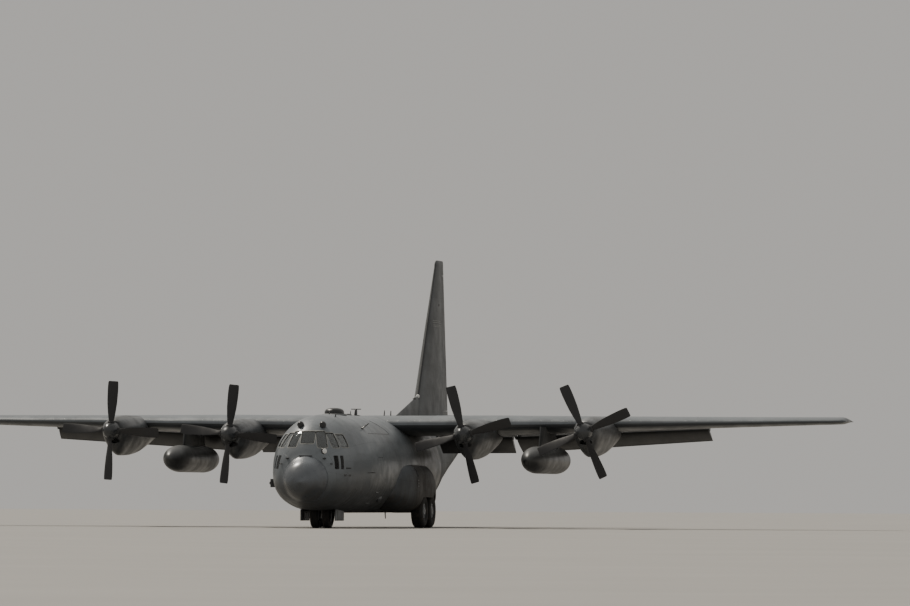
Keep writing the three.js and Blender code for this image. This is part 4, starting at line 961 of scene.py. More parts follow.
def make_fuselage(nose_paint, aft_paint, radome_paint, dark_paint):
    seam = RADOME_END - SEAT_GAP / 2
    radome = [body_ring(y) for y in RADOME_PLACES] + [body_ring(seam, inset) for inset in RADOME_RIM]
    dress(loft(radome), "radome_skin", radome_paint, "radome_paint", "radome", angle=40)

    nose = tube_shell(RADOME_END + SEAT_GAP / 2, NOSE_END - SEAT_GAP / 2, 0.05)
    well = NOSE_WELL
    well = block(-well.half, well.half, well.front, well.rear, well.below, well.cut_top)
    front, rear, foot, _ = CREW_DOOR
    hinge_x = half_width((front + rear) / 2, foot) - HINGE_BAR.inset
    sill = block(hinge_x - HINGE_BAR.room, DOOR_REACH[1], front - RUNNING_GAP, rear + RUNNING_GAP,
                 foot - SILL_DROP, foot)
    carve(nose, pane_cutters() + [door_block(CREW_DOOR, RUNNING_GAP), sill, well])
    dress(nose, "nose_skin", nose_paint, "fuselage_paint", "nose_fuselage")
    ends = [(hinge_x, y, foot - HINGE_BAR.drop) for y in (front - PIN_REACH, rear + PIN_REACH)]
    size = CREW_STEPS
    steps = [block(*size.x, front + size.end_gap, rear - size.end_gap, z, z + size.thick)
             for z in size.heights]
    door = combined([door_leaf(CREW_DOOR), tube(*ends, HINGE_BAR.radius, 12)] + steps)
    dress(door, "crew_door_skin", nose_paint, "fuselage_paint", "crew_door", body="crew_door")

    centre = tube_shell(NOSE_END + SEAT_GAP / 2, CENTRE_END - SEAT_GAP / 2, 0.25)
    opening, wells = door_block(PARATROOP_DOOR, SEAT_GAP), well_cutters()
    carve(centre, [mirrored(opening), opening] + [mirrored(cut) for cut in wells] + wells)
    dress(centre, "centre_skin", nose_paint, "fuselage_paint", "centre_fuselage")
    on_both_sides(door_leaf(PARATROOP_DOOR), "paratroop_door_skin_{}", dark_paint, "fuselage_paint",
                  "paratroop_door_{}")

    start = CENTRE_END + SEAT_GAP / 2
    rings = [body_ring(y) for y in stations(start, TAIL_TIP_FRONT, 0.16)]
    for y, share in TAIL_TIP:
        ring = body_ring(y)
        middle = sum(ring, Vector()) / len(ring)
        rings.append([middle + (p - middle) * share for p in ring])
    hollow = body_solid(start - 0.2, HOLLOW_END, 0.3, BODY_WALL)
    aft = carve(loft(rings), [hollow, ramp_prism(RUNNING_GAP), cargo_prism(RUNNING_GAP)])
    dress(aft, "aft_skin", aft_paint, "aft_paint", "aft_fuselage")

    ramp = carve(body_solid(start, RAMP_BODY_END, 0.2), [ramp_prism(0)], "INTERSECT")
    ends = [(x, CENTRE_END + RUNNING_GAP, RAMP.hinge_z) for x in (-RAMP.knuckles, RAMP.knuckles)]
    ramp = combined([ramp, tube(*ends, PIN_REACH, 16)])
    dress(ramp, "ramp_skin", aft_paint, "aft_paint", "ramp", body="ramp")
    door = carve(tube_shell(*CARGO_BODY, 0.2), [cargo_prism(0)], "INTERSECT")
    ends = [(CARGO_DOOR.half + reach, *CARGO_DOOR.hinge) for reach in (-PIN_DEPTH, PIN_REACH)]
    pin = tube(*ends, CONTROL_PIN, 12)
    dress(combined([door, pin, mirrored(pin)]), "cargo_door_skin", aft_paint, "aft_paint", "cargo_door",
          body="cargo_door")


def sponson_ring(y):
    """Half an oval with full shoulders, from the top round the outside to the bottom."""
    outer, top, bottom = rows_at(SPONSON_ROWS, y)
    ring = []
    for k in range(41):
        angle = math.radians(90 - 4.5 * k)
        out, rise = max(math.cos(angle), 0) ** SPONSON_POWER, signed_power(math.sin(angle), SPONSON_POWER)
        height = (top + bottom) / 2 + (top - bottom) / 2 * rise
        ring.append(Vector((mix(SPONSON_INNER, outer, out), y, height)))
    return ring


def sponson_side(y, z):
    """The outer surface of the port gear fairing at a height."""
    outer, top, bottom = rows_at(SPONSON_ROWS, y)
    rise = abs((z - (top + bottom) / 2) / ((top - bottom) / 2)) ** (1 / SPONSON_POWER)
    return Vector((mix(SPONSON_INNER, outer, math.sqrt(1 - rise * rise) ** SPONSON_POWER), y, z))


def make_sponsons(paint):
    body = loft([sponson_ring(y) for y in stations(SPONSON_ROWS[0][0], SPONSON_ROWS[-1][0], 0.1)])
    carve(body, [body_solid(*SPONSON_BODY, 0.25, -SEAT_GAP)] + well_cutters())
    on_both_sides(body, "sponson_skin_{}", paint, "fuselage_paint", "sponson_{}")


# Power plants


def nacelle_ring(y, x, hub, grow=0.0):
    half, top, bottom, mid = rows_at(NACELLE_ROWS, y)
    ring = []
    for s, c in round_steps(64):
        reach, pinch = (top - mid, 1) if c > 0 else (mid - bottom, 1 - NACELLE_PINCH * c * c)
        ring.append(Vector((x + (half + grow) * s * pinch, y, hub + mid + (reach + grow) * c)))
    return ring


def intake_ring(y, x, hub, grow=0.0):
    """A wide flat oval below the spinner."""
    ring = []
    for s, c in round_steps(32):
        across = (INTAKE.half + grow) * signed_power(s, INTAKE.across)
        upwards = (INTAKE.rise + grow) * signed_power(c, INTAKE.upright)
        ring.append(Vector((x + across, y, hub - INTAKE.drop + upwards)))
    return ring


def engine_parts(x, hub, grow=0.0):
    """The engine block and its shaft; with grow, the room that they need in the nacelle."""
    size = ENGINE
    return [block(x - size.half - grow, x + size.half + grow, size.front - grow, size.rear + grow,
                  hub - size.below - grow, hub + size.above + grow),
            tube((x, SHAFT.front, hub), (x, SHAFT.rear, hub), SHAFT.radius + grow, 24)]


def make_nacelle(x, hub):
    front, rear = NACELLE_ROWS[0][0], NACELLE_ROWS[-1][0]
    rings = [nacelle_ring(front + back, x, hub, grow) for back, grow in NACELLE_LIP]
    rings += [nacelle_ring(y, x, hub) for y in stations(front + 0.05, rear, 0.12)]
    mouth, end = front - 0.05, front + INTAKE.length
    cuts = [loft([intake_ring(mouth, x, hub), intake_ring(end, x, hub, -INTAKE.taper)])]
    for duct, sides in ((EXHAUST, 40), (LINK, 24)):
        ends = [(x, y, hub - duct.drop) for y in (duct.front, duct.rear)]
        cuts.append(tube(*ends, duct.radius, sides))
    body = carve(loft(rings), cuts + engine_parts(x, hub, SEAT_GAP))
    return keep_longest(carve(body, [wing_piece((x - NACELLE_CUT_HALF, x, x + NACELLE_CUT_HALF))]))


def propeller_blade():
    """A round root that becomes a thin, twisted aerofoil with a square tip, on a cuff."""
    rings = []
    for radius, chord, thick, pitch in BLADE_ROWS:
        s, c = math.sin(math.radians(pitch)), math.cos(math.radians(pitch))
        ring = []
        for rise, along in round_steps(24):
            # Outside the root the front of the section is thicker than its rear
            fullness = 1 if radius < BLADE_ROOT else (1.15 + 0.45 * along) / 1.25
            a, b = 0.5 * along * chord, 0.5 * rise * fullness * thick
            ring.append(Vector((a * c - b * s, a * s + b * c, radius)))
        rings.append(ring)
    return combined([loft(rings), lathe(CUFF, 32, "z")])


def make_power_plants(paint, blade_paint, spinner_paint, engine_metal):
    for number, sign, offset, hub, turn in NACELLES:
        body, engine = make_nacelle(offset, hub), combined(engine_parts(offset, hub))
        if sign < 0:
            body, engine = flipped(body), flipped(engine)
        dress(body, f"nacelle_skin_{number}", paint, "nacelle_paint", f"nacelle_{number}")
        dress(engine, f"engine_block_{number}", engine_metal, "engine", f"engine_{number}")
        propeller, centre = f"propeller_{number}", (sign * offset, PROP_Y, hub)
        angles = [math.radians(turn + 90 * i) for i in range(4)]
        blades = combined([moved(propeller_blade(), Matrix.Rotation(angle, 4, "Y")) for angle in angles])
        moved(blades, Matrix.Translation(centre))
        dress(blades, f"propeller_blades_{number}", blade_paint, "propeller", propeller, body=propeller)
        spinner = lathe(SPINNER, 72, "y", centre)
        dress(spinner, f"spinner_{number}", spinner_paint, "propeller", body=propeller)


def make_tanks(paint):
    half, straight = TANK.length / 2, TANK.cylinder / 2
    angles = [math.pi / 2 * k / 16 for k in range(1, 17)]
    nose = [(0.0, -half)]
    nose += [(TANK.radius * math.sin(a), -straight - (half - straight) * math.cos(a)) for a in angles]
    nose.append((TANK.radius, -TANK.seam))
    profile = nose + [(r, -y) for r, y in reversed(nose)]
    body = lathe(profile, 64, "y", (TANK.x, TANK.y, TANK.z))
    outline = [(f, half_thickness(f, 1.0) * 2) for f in cosine_steps(32)]
    outline += [(f, -w) for f, w in outline[-2:0:-1]]

    def pylon_ring(z, slope):
        length = PYLON.rear - PYLON.front - 2 * slope
        front = PYLON.front + slope
        return [Vector((TANK.x + w * PYLON.half, front + f * length, z)) for f, w in outline]

    pylon = loft([pylon_ring(PYLON.bottom, 0), pylon_ring(PYLON.top, PYLON.slope)])
    keep_longest(carve(pylon, [wing_piece((7.0, 8.2))]))
    on_both_sides(combined([body, pylon]), "tank_skin_{}", paint, "tank_paint", "tank_{}")


# Landing gear


def make_tyre(wheel, y):
    """A tyre with rounded shoulders and grooves round the tread."""
    half, hub, radius = wheel.width / 2, wheel.hub, wheel.radius
    side = [(hub, -half * 0.78), (hub + 0.02, -half * 0.84), (mix(hub, radius, 0.3), -half * 0.96),
            (radius * 0.8, -half), (radius * 0.88, -half * 0.95), (radius * 0.95, -half * 0.8),
            (radius * 0.985, -half * 0.62), (radius, -half * 0.5)]
    tread = []
    for share in (-0.42, -0.14, 0.14, 0.42):
        for depth, across in ((0, -0.012), (0.014, -0.008), (0.014, 0.008), (0, 0.012)):
            tread.append((radius - depth, share * half + across))
    return lathe(side + tread + [(r, -a) for r, a in side[::-1]], 72, "x", (wheel.x, y, radius))


def make_hub(wheel, y):
    """A dished wheel hub with ten bolts."""
    half, r, x = wheel.width / 2, wheel.hub - SEAT_GAP, wheel.x
    side = [(HUB_BORE, half * 0.88), (r * 0.5, half * 0.88), (r * 0.55, half * 0.8), (r * 0.8, half * 0.72),
            (r * 0.88, half * 0.86), (r, half * 0.8)]
    parts = [lathe([(radius, -a) for radius, a in side] + side[::-1], 56, "x", (x, y, wheel.radius))]
    for s, c in round_steps(10):
        place = (y + 0.68 * r * c, wheel.radius + 0.68 * r * s)
        parts.append(tube((x - half * 0.8, *place), (x + half * 0.8, *place), 0.018, 6))
    return combined(parts)


def make_nose_gear(paint, steel, rubber, hub_paint):
    wheel, well, y = NOSE_WHEEL, NOSE_WELL, NOSE_WHEEL.y
    head = well.top - SEAT_GAP
    profile = [(0.0, FORK_TOP), (0.09, FORK_TOP), (0.105, 1.1), (0.105, 1.2), (0.115, 1.21), (0.115, 1.25),
               (0.105, 1.26), (0.105, head), (0.0, head)]
    strut = [lathe(profile, 32, "z", (0, y, 0)),
             block(-0.06, 0.06, y - 0.02, well.rear - SEAT_GAP, 1.48, 1.56),
             tube((0, y + 0.08, 1.2), (0, well.rear - 0.03, 1.5), 0.03)]
    lamp = TAXI_LAMP
    strut += [tube((x, y - lamp.front, lamp.z), (x, y - lamp.rear, lamp.z), lamp.radius, 24)
              for x in (-lamp.x, lamp.x)]
    strut.append(tube((-lamp.x, y - 0.06, lamp.z), (lamp.x, y - 0.06, lamp.z), 0.02))
    dress(combined(strut), "nose_strut", steel, "gear_steel", "nose_gear_strut")

    reach, foot, head = wheel.x + wheel.width * 0.45, wheel.radius - 0.09, FORK_TOP - SEAT_GAP
    profile = [(0.0, foot), (0.095, foot), (0.095, wheel.radius + 0.1), (0.06, wheel.radius + 0.13),
               (0.06, 0.98), (0.08, 1.0), (0.08, head), (0.0, head)]
    fork = [lathe(profile, 32, "z", (0, y, 0)),
            tube((-reach, y, wheel.radius), (reach, y, wheel.radius), AXLE, 24),
            block(-0.045, 0.045, y + 0.08, y + 0.24, 0.76, 0.8),
            block(-0.045, 0.045, y + 0.05, y + 0.1, 0.56, 0.78),
            block(-0.04, 0.04, y + 0.05, y + 0.24, 0.8, 0.84)]
    dress(combined(fork), "nose_fork", steel, "gear_steel", "nose_gear_fork", body="nose_steering")
    on_both_sides(make_tyre(wheel, y), "nose_tyre_{}", rubber, "tyre", "nose_wheel_{}", body="nose_wheels")
    on_both_sides(make_hub(wheel, y), "nose_hub_{}", hub_paint, "tyre", body="nose_wheels")

    door, inside = NOSE_DOOR, well.half + NOSE_DOOR.gap
    leaf = block(inside, inside + door.thick, well.front + door.end_gap, well.rear - door.end_gap,
                 door.below, door.top)
    carve(leaf, [body_solid(3.2, 5.2, 0.1, -SEAT_GAP)])
    ribs = [block(well.half - 0.004, well.half + 0.01, rib, rib + 0.04, 0.33, 0.62)
            for rib in door.ribs]
    on_both_sides(combined([leaf] + ribs), "nose_door_skin_{}", paint, "fuselage_paint", "nose_gear_door_{}")


def make_main_gear(steel, rubber, hub_paint):
    wheel, top = MAIN_WHEEL, WELL_TOP - SEAT_GAP
    legs = [block(LEG_X - 0.045, LEG_X + 0.045, *wheel.y, top - 0.09, top)]
    middle, axle_end = wheel.radius, wheel.x + wheel.width * 0.47
    for y in wheel.y:
        legs += [tube((LEG_X, y, middle), (axle_end, y, middle), AXLE, 24),
                 tube((LEG_X, y, middle - 0.09), (LEG_X, y, middle + 0.3), 0.035, 24),
                 tube((LEG_X, y, middle + 0.2), (LEG_X, y, top), 0.045, 24)]
    on_both_sides(combined(legs), "main_legs_{}", steel, "gear_steel", "main_gear_legs_{}")
    for place, y in zip(("front", "rear"), wheel.y):
        end = place + "_{}"
        body = "main_wheel_" + end
        on_both_sides(make_tyre(wheel, y), "tyre_" + end, rubber, "tyre", "main_tyre_" + end, body=body)
        on_both_sides(make_hub(wheel, y), "hub_" + end, hub_paint, "wheel_hub", "main_hub_" + end, body=body)


# Flight deck


def below(shell, height):
    """Takes the part of a shell below a height off it and returns that part."""
    low = linked(shell.data.copy())
    for part, operation in ((low, "INTERSECT"), (shell, "DIFFERENCE")):
        carve(part, [block(-3, 3, 0, 4, 0, height)], operation)
    return low


def make_glazing(glass, foot_glass, seal, frame_paint):
    """Panes a little behind the skin, each in a dark seal, and a frame round each upper pane."""
    panes = window_band(*PANE_LAYER)
    dress(below(panes, FOOT_WINDOW.limit), "foot_panes", foot_glass, "glazing")
    dress(panes, "window_panes", glass, "glazing", "flight_deck_glazing")
    dress(window_band(*SEAL_LAYER), "window_seals", seal, "interior")
    frames = window_band(*FRAME_LAYER)
    bpy.data.objects.remove(below(frames, FOOT_WINDOW.limit))
    dress(frames, "window_frames", frame_paint, "fuselage_paint")


def make_cabin(interior, dark):
    """Two seats with their control columns, the levers between them, and the dials of the panel."""
    parts = []
    for sign in (1, -1):
        x, y = sign * 0.62, 2.85
        arm = x - sign * 0.3
        parts += [
            block(x - 0.25, x + 0.25, y - 0.22, y + 0.2, 2.62, 2.77),
            block(x - 0.24, x + 0.24, y + 0.14, y + 0.26, 2.75, 3.3),
            block(x - 0.14, x + 0.14, y + 0.14, y + 0.24, 3.32, 3.47),
            tube((arm, y - 0.1, 2.95), (arm, y + 0.18, 2.95), 0.025, 12),
            tube((x, 2.34, 2.32), (x, 2.3, 2.92), 0.03, 12),
            tube((x - 0.17, 2.3, 2.95), (x + 0.17, 2.3, 2.95), 0.018, 12)]
        parts += [tube((grip, 2.3, 2.93), (grip, 2.3, 3.08), 0.018, 12) for grip in (x - 0.17, x + 0.17)]
    parts.append(block(-0.22, 0.22, 2.14, 2.9, 2.3, 2.72))
    parts += [tube((x, 2.5, 2.7), (x, 2.45, 2.86), 0.012, 8) for x in (-0.12, -0.06, 0.0, 0.06, 0.12)]
    dress(combined(parts), "seats_and_controls", interior, "interior")
    places = [(0.14 * k, z) for k in range(-7, 8) for z in (2.72, 2.87, 3.02)]
    dials = [tube((x, 2.125, z), (x, 2.138, z), 0.05, 20)
             for x, z in places if abs(x) < half_width(2.13, z) - 0.2]
    dress(combined(dials), "panel_dials", dark, "interior")


# Small parts

UP = Vector((0, 0, 1))


def on_roof(y, x=0.0):
    return Vector((x, y, skin_height(y, x)))


def dome(centre, radii, normal=UP, sides=48, rings=14):
    """The upper half of an ellipsoid with a short foot, square to a normal."""
    rises = [math.pi / 2 * i / rings for i in range(rings)]
    levels = [(1, -0.25)] + [(math.cos(rise), math.sin(rise)) for rise in rises]
    turn = UP.rotation_difference(Vector(normal).normalized()).to_matrix()
    return loft([[turn @ (Vector((share * c, share * s, height)) * Vector(radii)) + Vector(centre)
                  for s, c in round_steps(sides)] for share, height in levels])


def fin_blade(base, height, length, thick, lean=0.3, direction=UP):
    """A small swept blade aerial that stands on the skin."""
    up, back = Vector(direction).normalized(), Vector((0, 1, 0))
    across = up.cross(back).normalized()
    rings = []
    for t, share in ((-0.12, 1.0), (0.0, 1.0), (0.5, 0.85), (0.9, 0.66), (1.0, 0.5)):
        middle = Vector(base) + up * height * t + back * (length * lean * max(t, 0))
        rings.append([middle + back * (length * 0.5 * c * share) + across * (thick * 0.5 * s * share)
                      for s, c in round_steps(20)])
    return loft(rings)


def side_patch(front, rear, low, high):
    """A thin plate that follows the port side of the fuselage."""
    rings = []
    for y in stations(front, rear, 0.05):
        corners = ((low, -0.02), (low, 0.006), (high, 0.006), (high, -0.02))
        rings.append([Vector((half_width(y, z) + lift, y, z)) for z, lift in corners])
    return loft(rings)


def nose_lamp(dark, glass):
    """The lamp beside the radome on the port side, in a dark rim."""
    y, z = 1.25, 3.11
    place = Vector((half_width(y, z) - 0.005, y, z))
    out = Vector((0.75, -0.6, 0.25)).normalized()
    dress(dome(place, (0.145, 0.15, 0.04), out), "nose_lamp_rim", dark, "fuselage_paint")
    dress(dome(place + out * 0.026, (0.105, 0.12, 0.05), out), "nose_lamp", glass, "glazing")


def nose_probes(dark):
    """Pressure probes, ports and small vents round the nose."""
    parts = []
    for sign in (1, -1):
        for y, z, size in ((1.1, 2.82, 0.032), (1.16, 2.6, 0.018)):
            foot = Vector((sign * (half_width(y, z) - 0.01), y, z))
            tip = foot + Vector((sign, -0.15, 0)).normalized() * 0.1
            parts += [tube(foot, tip, size, 12),
                      tube(tip + Vector((0, 0.05, 0)), tip - Vector((0, 0.24, 0)), size * 0.8, 12, 0.008)]
        port = (sign * (half_width(3.0, 1.6) - 0.005), 3.0, 1.6)
        parts.append(dome(port, (0.06, 0.06, 0.012), (sign, 0, -0.1), 24, 4))
    parts += [side_patch(*edges) for edges in
              ((1.85, 2.25, 2.405, 2.455), (1.68, 1.85, 2.1, 2.175), (2.04, 2.22, 2.1, 2.175))]
    # A thin dark plate across the top of the radome's rear edge: painted shadow of the gap between the radome
    # and the skin
    parts.append(block(-0.27, 0.27, 0.985, 1.06, 2.9, 2.935))
    dress(combined(parts), "nose_probes", dark, "fuselage_paint")


def warning_sensors(dark):
    """Two black sensor heads on short feet above the windscreen."""
    parts = []
    for sign in (1, -1):
        foot = on_roof(2.12, sign * 0.46)
        parts += [dome(foot + Vector((0, 0, 0.06)), (0.14, 0.16, 0.15)),
                  dome(foot - Vector((0, 0.02, 0)), (0.11, 0.14, 0.1)),
                  tube(foot + Vector((0, -0.19, 0.08)), foot + Vector((0, 0.02, 0.09)), 0.075, 24)]
    dress(combined(parts), "warning_sensors", dark, "fuselage_paint", angle=50)


def aerials(dark, pale):
    shoulder, outward = on_roof(5.08, 1.45), (0.75, 0, 0.65)
    parts = [
        # place, height, length, thickness, lean, direction
        fin_blade(on_roof(4.0, 0.56), 0.15, 0.2, 0.04, 0.3, (0.1, 0, 1)),
        fin_blade(on_roof(5.1, 0.06), 0.12, 0.2, 0.035),
        fin_blade(on_roof(9.45), 0.19, 0.12, 0.035, 0.1),
        fin_blade(on_roof(10.45), 0.28, 0.34, 0.13, 0.2),
        fin_blade(on_roof(16.1), 0.3, 0.22, 0.04),
        fin_blade(on_roof(17.4), 0.3, 0.22, 0.04),
        fin_blade(shoulder, 0.32, 0.3, 0.045, 0.5, outward)]
    parts += [fin_blade((0, y, rows_at(BODY_ROWS, y)[2]), 0.26, 0.26, 0.03, 0.3, -UP) for y in (7.6, 16.4)]
    parts += [dome(shoulder, (0.07, 0.2, 0.03), outward), dome(on_roof(10.6), (0.16, 0.34, 0.04)),
              dome(on_roof(9.05), (0.14, 0.36, 0.07))]
    dress(combined(parts), "aerials", dark, "fuselage_paint")
    height = on_roof(10.52).z + 0.275
    bar = tube((-0.21, 10.52, height), (0.21, 10.52, height), 0.02, 16)
    dress(bar, "aerial_bar", pale, "fuselage_paint")


def side_fairings(dark, paint):
    """The sensor box on the starboard side of the nose and the small fairing ahead of the port gear."""
    y, z = 3.75, 1.82
    x = -half_width(y, z)
    sensor = [block(x - 0.135, x + 0.1, y - 0.16, y + 0.16, z - 0.17, z + 0.17),
              tube((x - 0.1, y - 0.2, z), (x - 0.1, y, z), 0.07, 24)]
    dress(combined(sensor), "side_sensor", dark, "fuselage_paint")
    fairing = dome((half_width(7.0, 1.2) - 0.02, 7.0, 1.2), (0.15, 0.32, 0.09), (1, 0, -0.55))
    dress(fairing, "side_fairing", paint, "fuselage_paint")


def skin_seams(dark):
    """Seam strips on both shoulders ahead of the wing, and a short rail ahead of the crew door."""
    def on_side(y, z):
        return Vector((half_width(y, z) - 0.004, y, z))

    parts = strip([on_side(y, 3.87) for y in stations(5.3, 9.35, 0.4)], 0.012)
    parts += strip([on_side(9.35 - 0.75 * t**1.5, 3.87 + 0.55 * t) for t in stations(0, 1, 0.125)], 0.012)
    parts += strip([on_side(y, 2.26) for y in stations(3.8, 4.6, 0.2)], 0.02)
    on_both_sides(combined(parts), "skin_seams_{}", dark, "fuselage_paint")


def roof_dome(dark, paint):
    y = 6.35
    shell = [(0.0, -0.05), (0.385, -0.05), (0.4, 0.05), (0.395, 0.12), (0.37, 0.175), (0.32, 0.22),
             (0.24, 0.25), (0.13, 0.268), (0.0, 0.272)]
    foot = [(0.0, -0.06), (0.5, -0.06), (0.5, 0.0), (0.46, 0.03), (0.0, 0.03)]
    longer = Matrix.Translation((0, y, 0)) @ Matrix.Scale(1.25, 4, (0, 1, 0)) @ Matrix.Translation((0, -y, 0))
    shell, foot = (moved(lathe(profile, 64, "z", on_roof(y)), longer) for profile in (shell, foot))
    dress(shell, "roof_dome", dark, "fuselage_paint", angle=60)
    dress(foot, "roof_dome_foot", paint, "fuselage_paint")


def lights(clear, red, green, dark):
    """Lamps at the wing tips and on the fin."""
    section = wing_section(19.9)
    for side, sign, lens in (("port", 1, red), ("starboard", -1, green)):
        place = (sign * 19.93, section["lead"] + 0.25, section["z"] + 0.02)
        dress(dome(place, (0.06, 0.14, 0.06), (sign, -0.3, 0)), f"tip_light_{side}", lens, "wing_paint")
    dress(dome((0.02, 22.9, 5.64), (0.08, 0.1, 0.08), (0.5, -1, 0.4)), "fin_lamp", clear, "tail_paint")
    dress(dome((0, 22.3, 5.52), (0.07, 0.1, 0.07)), "fin_stud", dark, "tail_paint")
    dress(dome((0, 27.6, 11.5), (0.05, 0.09, 0.12)), "fin_beacon", red, "tail_paint")


def fairing_trim(dark):
    """On each gear fairing: a dark strip along the top, for the joint with the fuselage and as painted shadow
    in it, the front edge of a service door and louvres below it.
    """
    # The dark strip at the joint with the fuselage is partly a painted shadow
    parts = strip([sponson_side(y, 2.6) for y in stations(11.4, 14.6, 0.4)], 0.022)
    parts += strip([sponson_side(11.35, z) for z in stations(2.12, 2.5, 0.06)], 0.03)
    for z in (1.98, 1.86, 1.74):
        parts += strip([sponson_side(y, z) for y in (11.2, 11.55)], 0.02)
    on_both_sides(combined(parts), "fairing_trim_{}", dark, "fuselage_paint")


def fin_marks(dark, pale):
    """Four pale stripes and two small dark lamps on each side of the fin."""
    def fin_side(y, z, lift=0.0):
        section = fin_section(z)
        along = (y - section["lead"]) / section["chord"]
        return Vector((half_thickness(along, section["thick"]) * section["chord"] + lift, y, z))

    stripes = []
    for z in (8.99, 8.91, 8.8, 8.74):
        stripes += strip([fin_side(y, z) for y in stations(25.4, 27.0, 0.2)], 0.01)
    on_both_sides(combined(stripes), "fin_stripes_{}", pale, "tail_paint")
    lamp = dome(fin_side(26.67, 9.69, -0.004), (0.07, 0.07, 0.03), (1, 0, 0), 24, 6)
    on_both_sides(lamp, "fin_lamps_{}", dark, "tail_paint")


def static_wicks(dark):
    """Thin rods behind the trailing edge of the outer wings."""
    wicks = []
    for sign in (1, -1):
        for x in (14.6, 15.7, 16.8, 17.9, 19.0):
            y, z = surface_point(wing_section(x), 1, 0)
            wicks.append(tube((sign * x, y - 0.02, z), (sign * x, y + 0.2, z), 0.007, 6))
    dress(combined(wicks), "wicks_wing_fixed", dark, "wing_paint")


# Paints and other looks

GREY = (0.135, 0.15, 0.163)
DARK_GREY = (0.062, 0.068, 0.073)
# The brown of dirt, also used low on the skin as painted shade
DIRT_AND_LOW_SHADE = (0.075, 0.056, 0.037)
SOOT = (0.028, 0.026, 0.024)
STAIN = (0.04, 0.031, 0.023)
RUST = (0.07, 0.05, 0.035)


def shade(colour, factor):
    return tuple(min(1, c * factor) for c in colour)


def paint(name, colour, mode="round", width=0.62, height=0.36, line=0.0022, dirt_and_low_shade=1.0, soot=0.0, gloss=0.36,
          axis_height=1.25, painted_underside_shade=0.85, top_sheen_and_fade=0.35, dust_from=None, edge=0.0):
    """Weathered paint on riveted skin: panel joints, tints, faded patches, streaks aft and dust below that
    also stands in for shade there, with painted shade on faces turned down and, where edge is given, on faces
    turned forward, and a painted sheen on faces turned up.
    """
    look = Look(name)
    if mode == "round":
        around = look.math("ARCTAN2", look.x, look.math("SUBTRACT", look.z, axis_height))
        vector, flow = look.vector(look.y, around), (2.6, 0.5, 2.6)
    elif mode == "flat":
        vector, flow = look.vector(look.x, look.y), (3.2, 0.45, 1.0)
    else:
        vector, flow = look.vector(look.y, look.z), (1.0, 0.5, 3.0)
    line_fac, tint = look.panels(vector, width, height, line)
    fine_fac, fine_tint = look.panels(vector, width / 3, height * 2, line * 0.5, 0.0)
    broad = look.noise(0.55, 5.0, 0.62)
    cloud = look.noise(2.4, 6.0, 0.65)
    grain = look.noise(38.0, 3.0, 0.6)
    streak = look.noise(2.6, 6.0, 0.7, look.stretched(*flow))
    light, deep = shade(colour, 1.3), shade(colour, 0.72)
    base = look.blend(look.between(broad, 0.36, 0.66), deep, light)
    base = look.blend(look.times(look.between(tint, 0.0, 1.0), 0.32), base, light)
    base = look.blend(look.times(look.between(fine_tint, 0.0, 1.0), 0.14), base, deep)
    base = look.blend(look.between(streak, 0.5, 0.78, 0.0, 0.5), base, deep)
    base = look.blend(look.between(cloud, 0.58, 0.8, 0.0, 0.35), base, light)
    # Painted shade: faces that turn downwards are darkened towards a deep tone of the paint
    base = look.blend(look.between(look.rise, -0.45, 0.4, painted_underside_shade, 0.0), base, shade(colour, 0.28))
    # Painted sheen: faces that turn upwards are made paler; it also stands for paint faded by the sun
    base = look.blend(look.between(look.rise, 0.72, 0.97, 0.0, top_sheen_and_fade), base, shade(colour, 2.2))
    if dust_from is not None:
        aft = look.between(look.y, dust_from, dust_from + 0.8)
        base = look.blend(look.times(aft, look.between(streak, 0.2, 0.6, 0.4, 0.75)), base, STAIN)
    # Painted shade: where edge is given, faces that turn forwards are darkened
    if edge:
        base = look.blend(look.between(look.aft, -0.8, -0.25, edge, 0.0), base, shade(colour, 0.25))
    # Dust streaks low on the skin, which also stand in for the shade on the lower skin
    low = look.between(look.z, 0.35, 1.35, 1.0, 0.0)
    rain = look.noise(3.4, 6.0, 0.7, look.stretched(1.0, 3.0, 0.5))
    low_dust_and_shade = look.times(low, look.between(rain, 0.4, 0.72), clamp=True)
    base = look.blend(look.times(low_dust_and_shade, 0.4 * dirt_and_low_shade, clamp=True), base, DIRT_AND_LOW_SHADE)
    speck = look.between(look.spots(9.0), 0.0, 0.1, 1.0, 0.0)
    base = look.blend(look.times(speck, 0.3 * dirt_and_low_shade, clamp=True), base, DIRT_AND_LOW_SHADE)
    if soot:
        base = look.blend(look.between(streak, 0.38, 0.64, 0.0, soot), base, SOOT)
    joint = look.math("MAXIMUM", look.times(line_fac, 0.7), look.times(fine_fac, 0.28))
    base = look.blend(joint, base, shade(colour, 0.35))
    rough = look.between(cloud, 0.3, 0.75, gloss - 0.07, gloss + 0.16)
    rough = look.math("ADD", rough, look.times(low_dust_and_shade, 0.25), clamp=True)
    rivets = look.between(look.spots(30.0), 0.0, 0.16, 1.0, 0.0)
    normal = look.bump(look.math("SUBTRACT", look.times(rivets, 0.12), joint), 0.004, 0.35)
    swell = look.math("ADD", look.noise(3.2, 2.0, 0.5), look.times(grain, 0.02))
    return look.finish(base, rough, look.bump(swell, 0.012, 0.12, Normal=normal), 0.12)


def plain_metal(name, colour, rough, wear, scale, metallic=0.0):
    look = Look(name)
    cloud = look.noise(scale, 6.0, 0.65)
    scratch = look.noise(scale * 5, 5.0, 0.7, look.stretched(1.0, 6.0, 1.0))
    base = look.blend(look.between(cloud, 0.35, 0.7), shade(colour, 1 - wear * 0.6), colour)
    base = look.blend(look.between(scratch, 0.55, 0.75, 0.0, 0.4 * wear), base, RUST)
    value = look.between(cloud, 0.3, 0.7, rough - 0.08, rough + 0.2)
    return look.finish(base, value, look.bump(scratch, 0.001, 0.25), metallic)


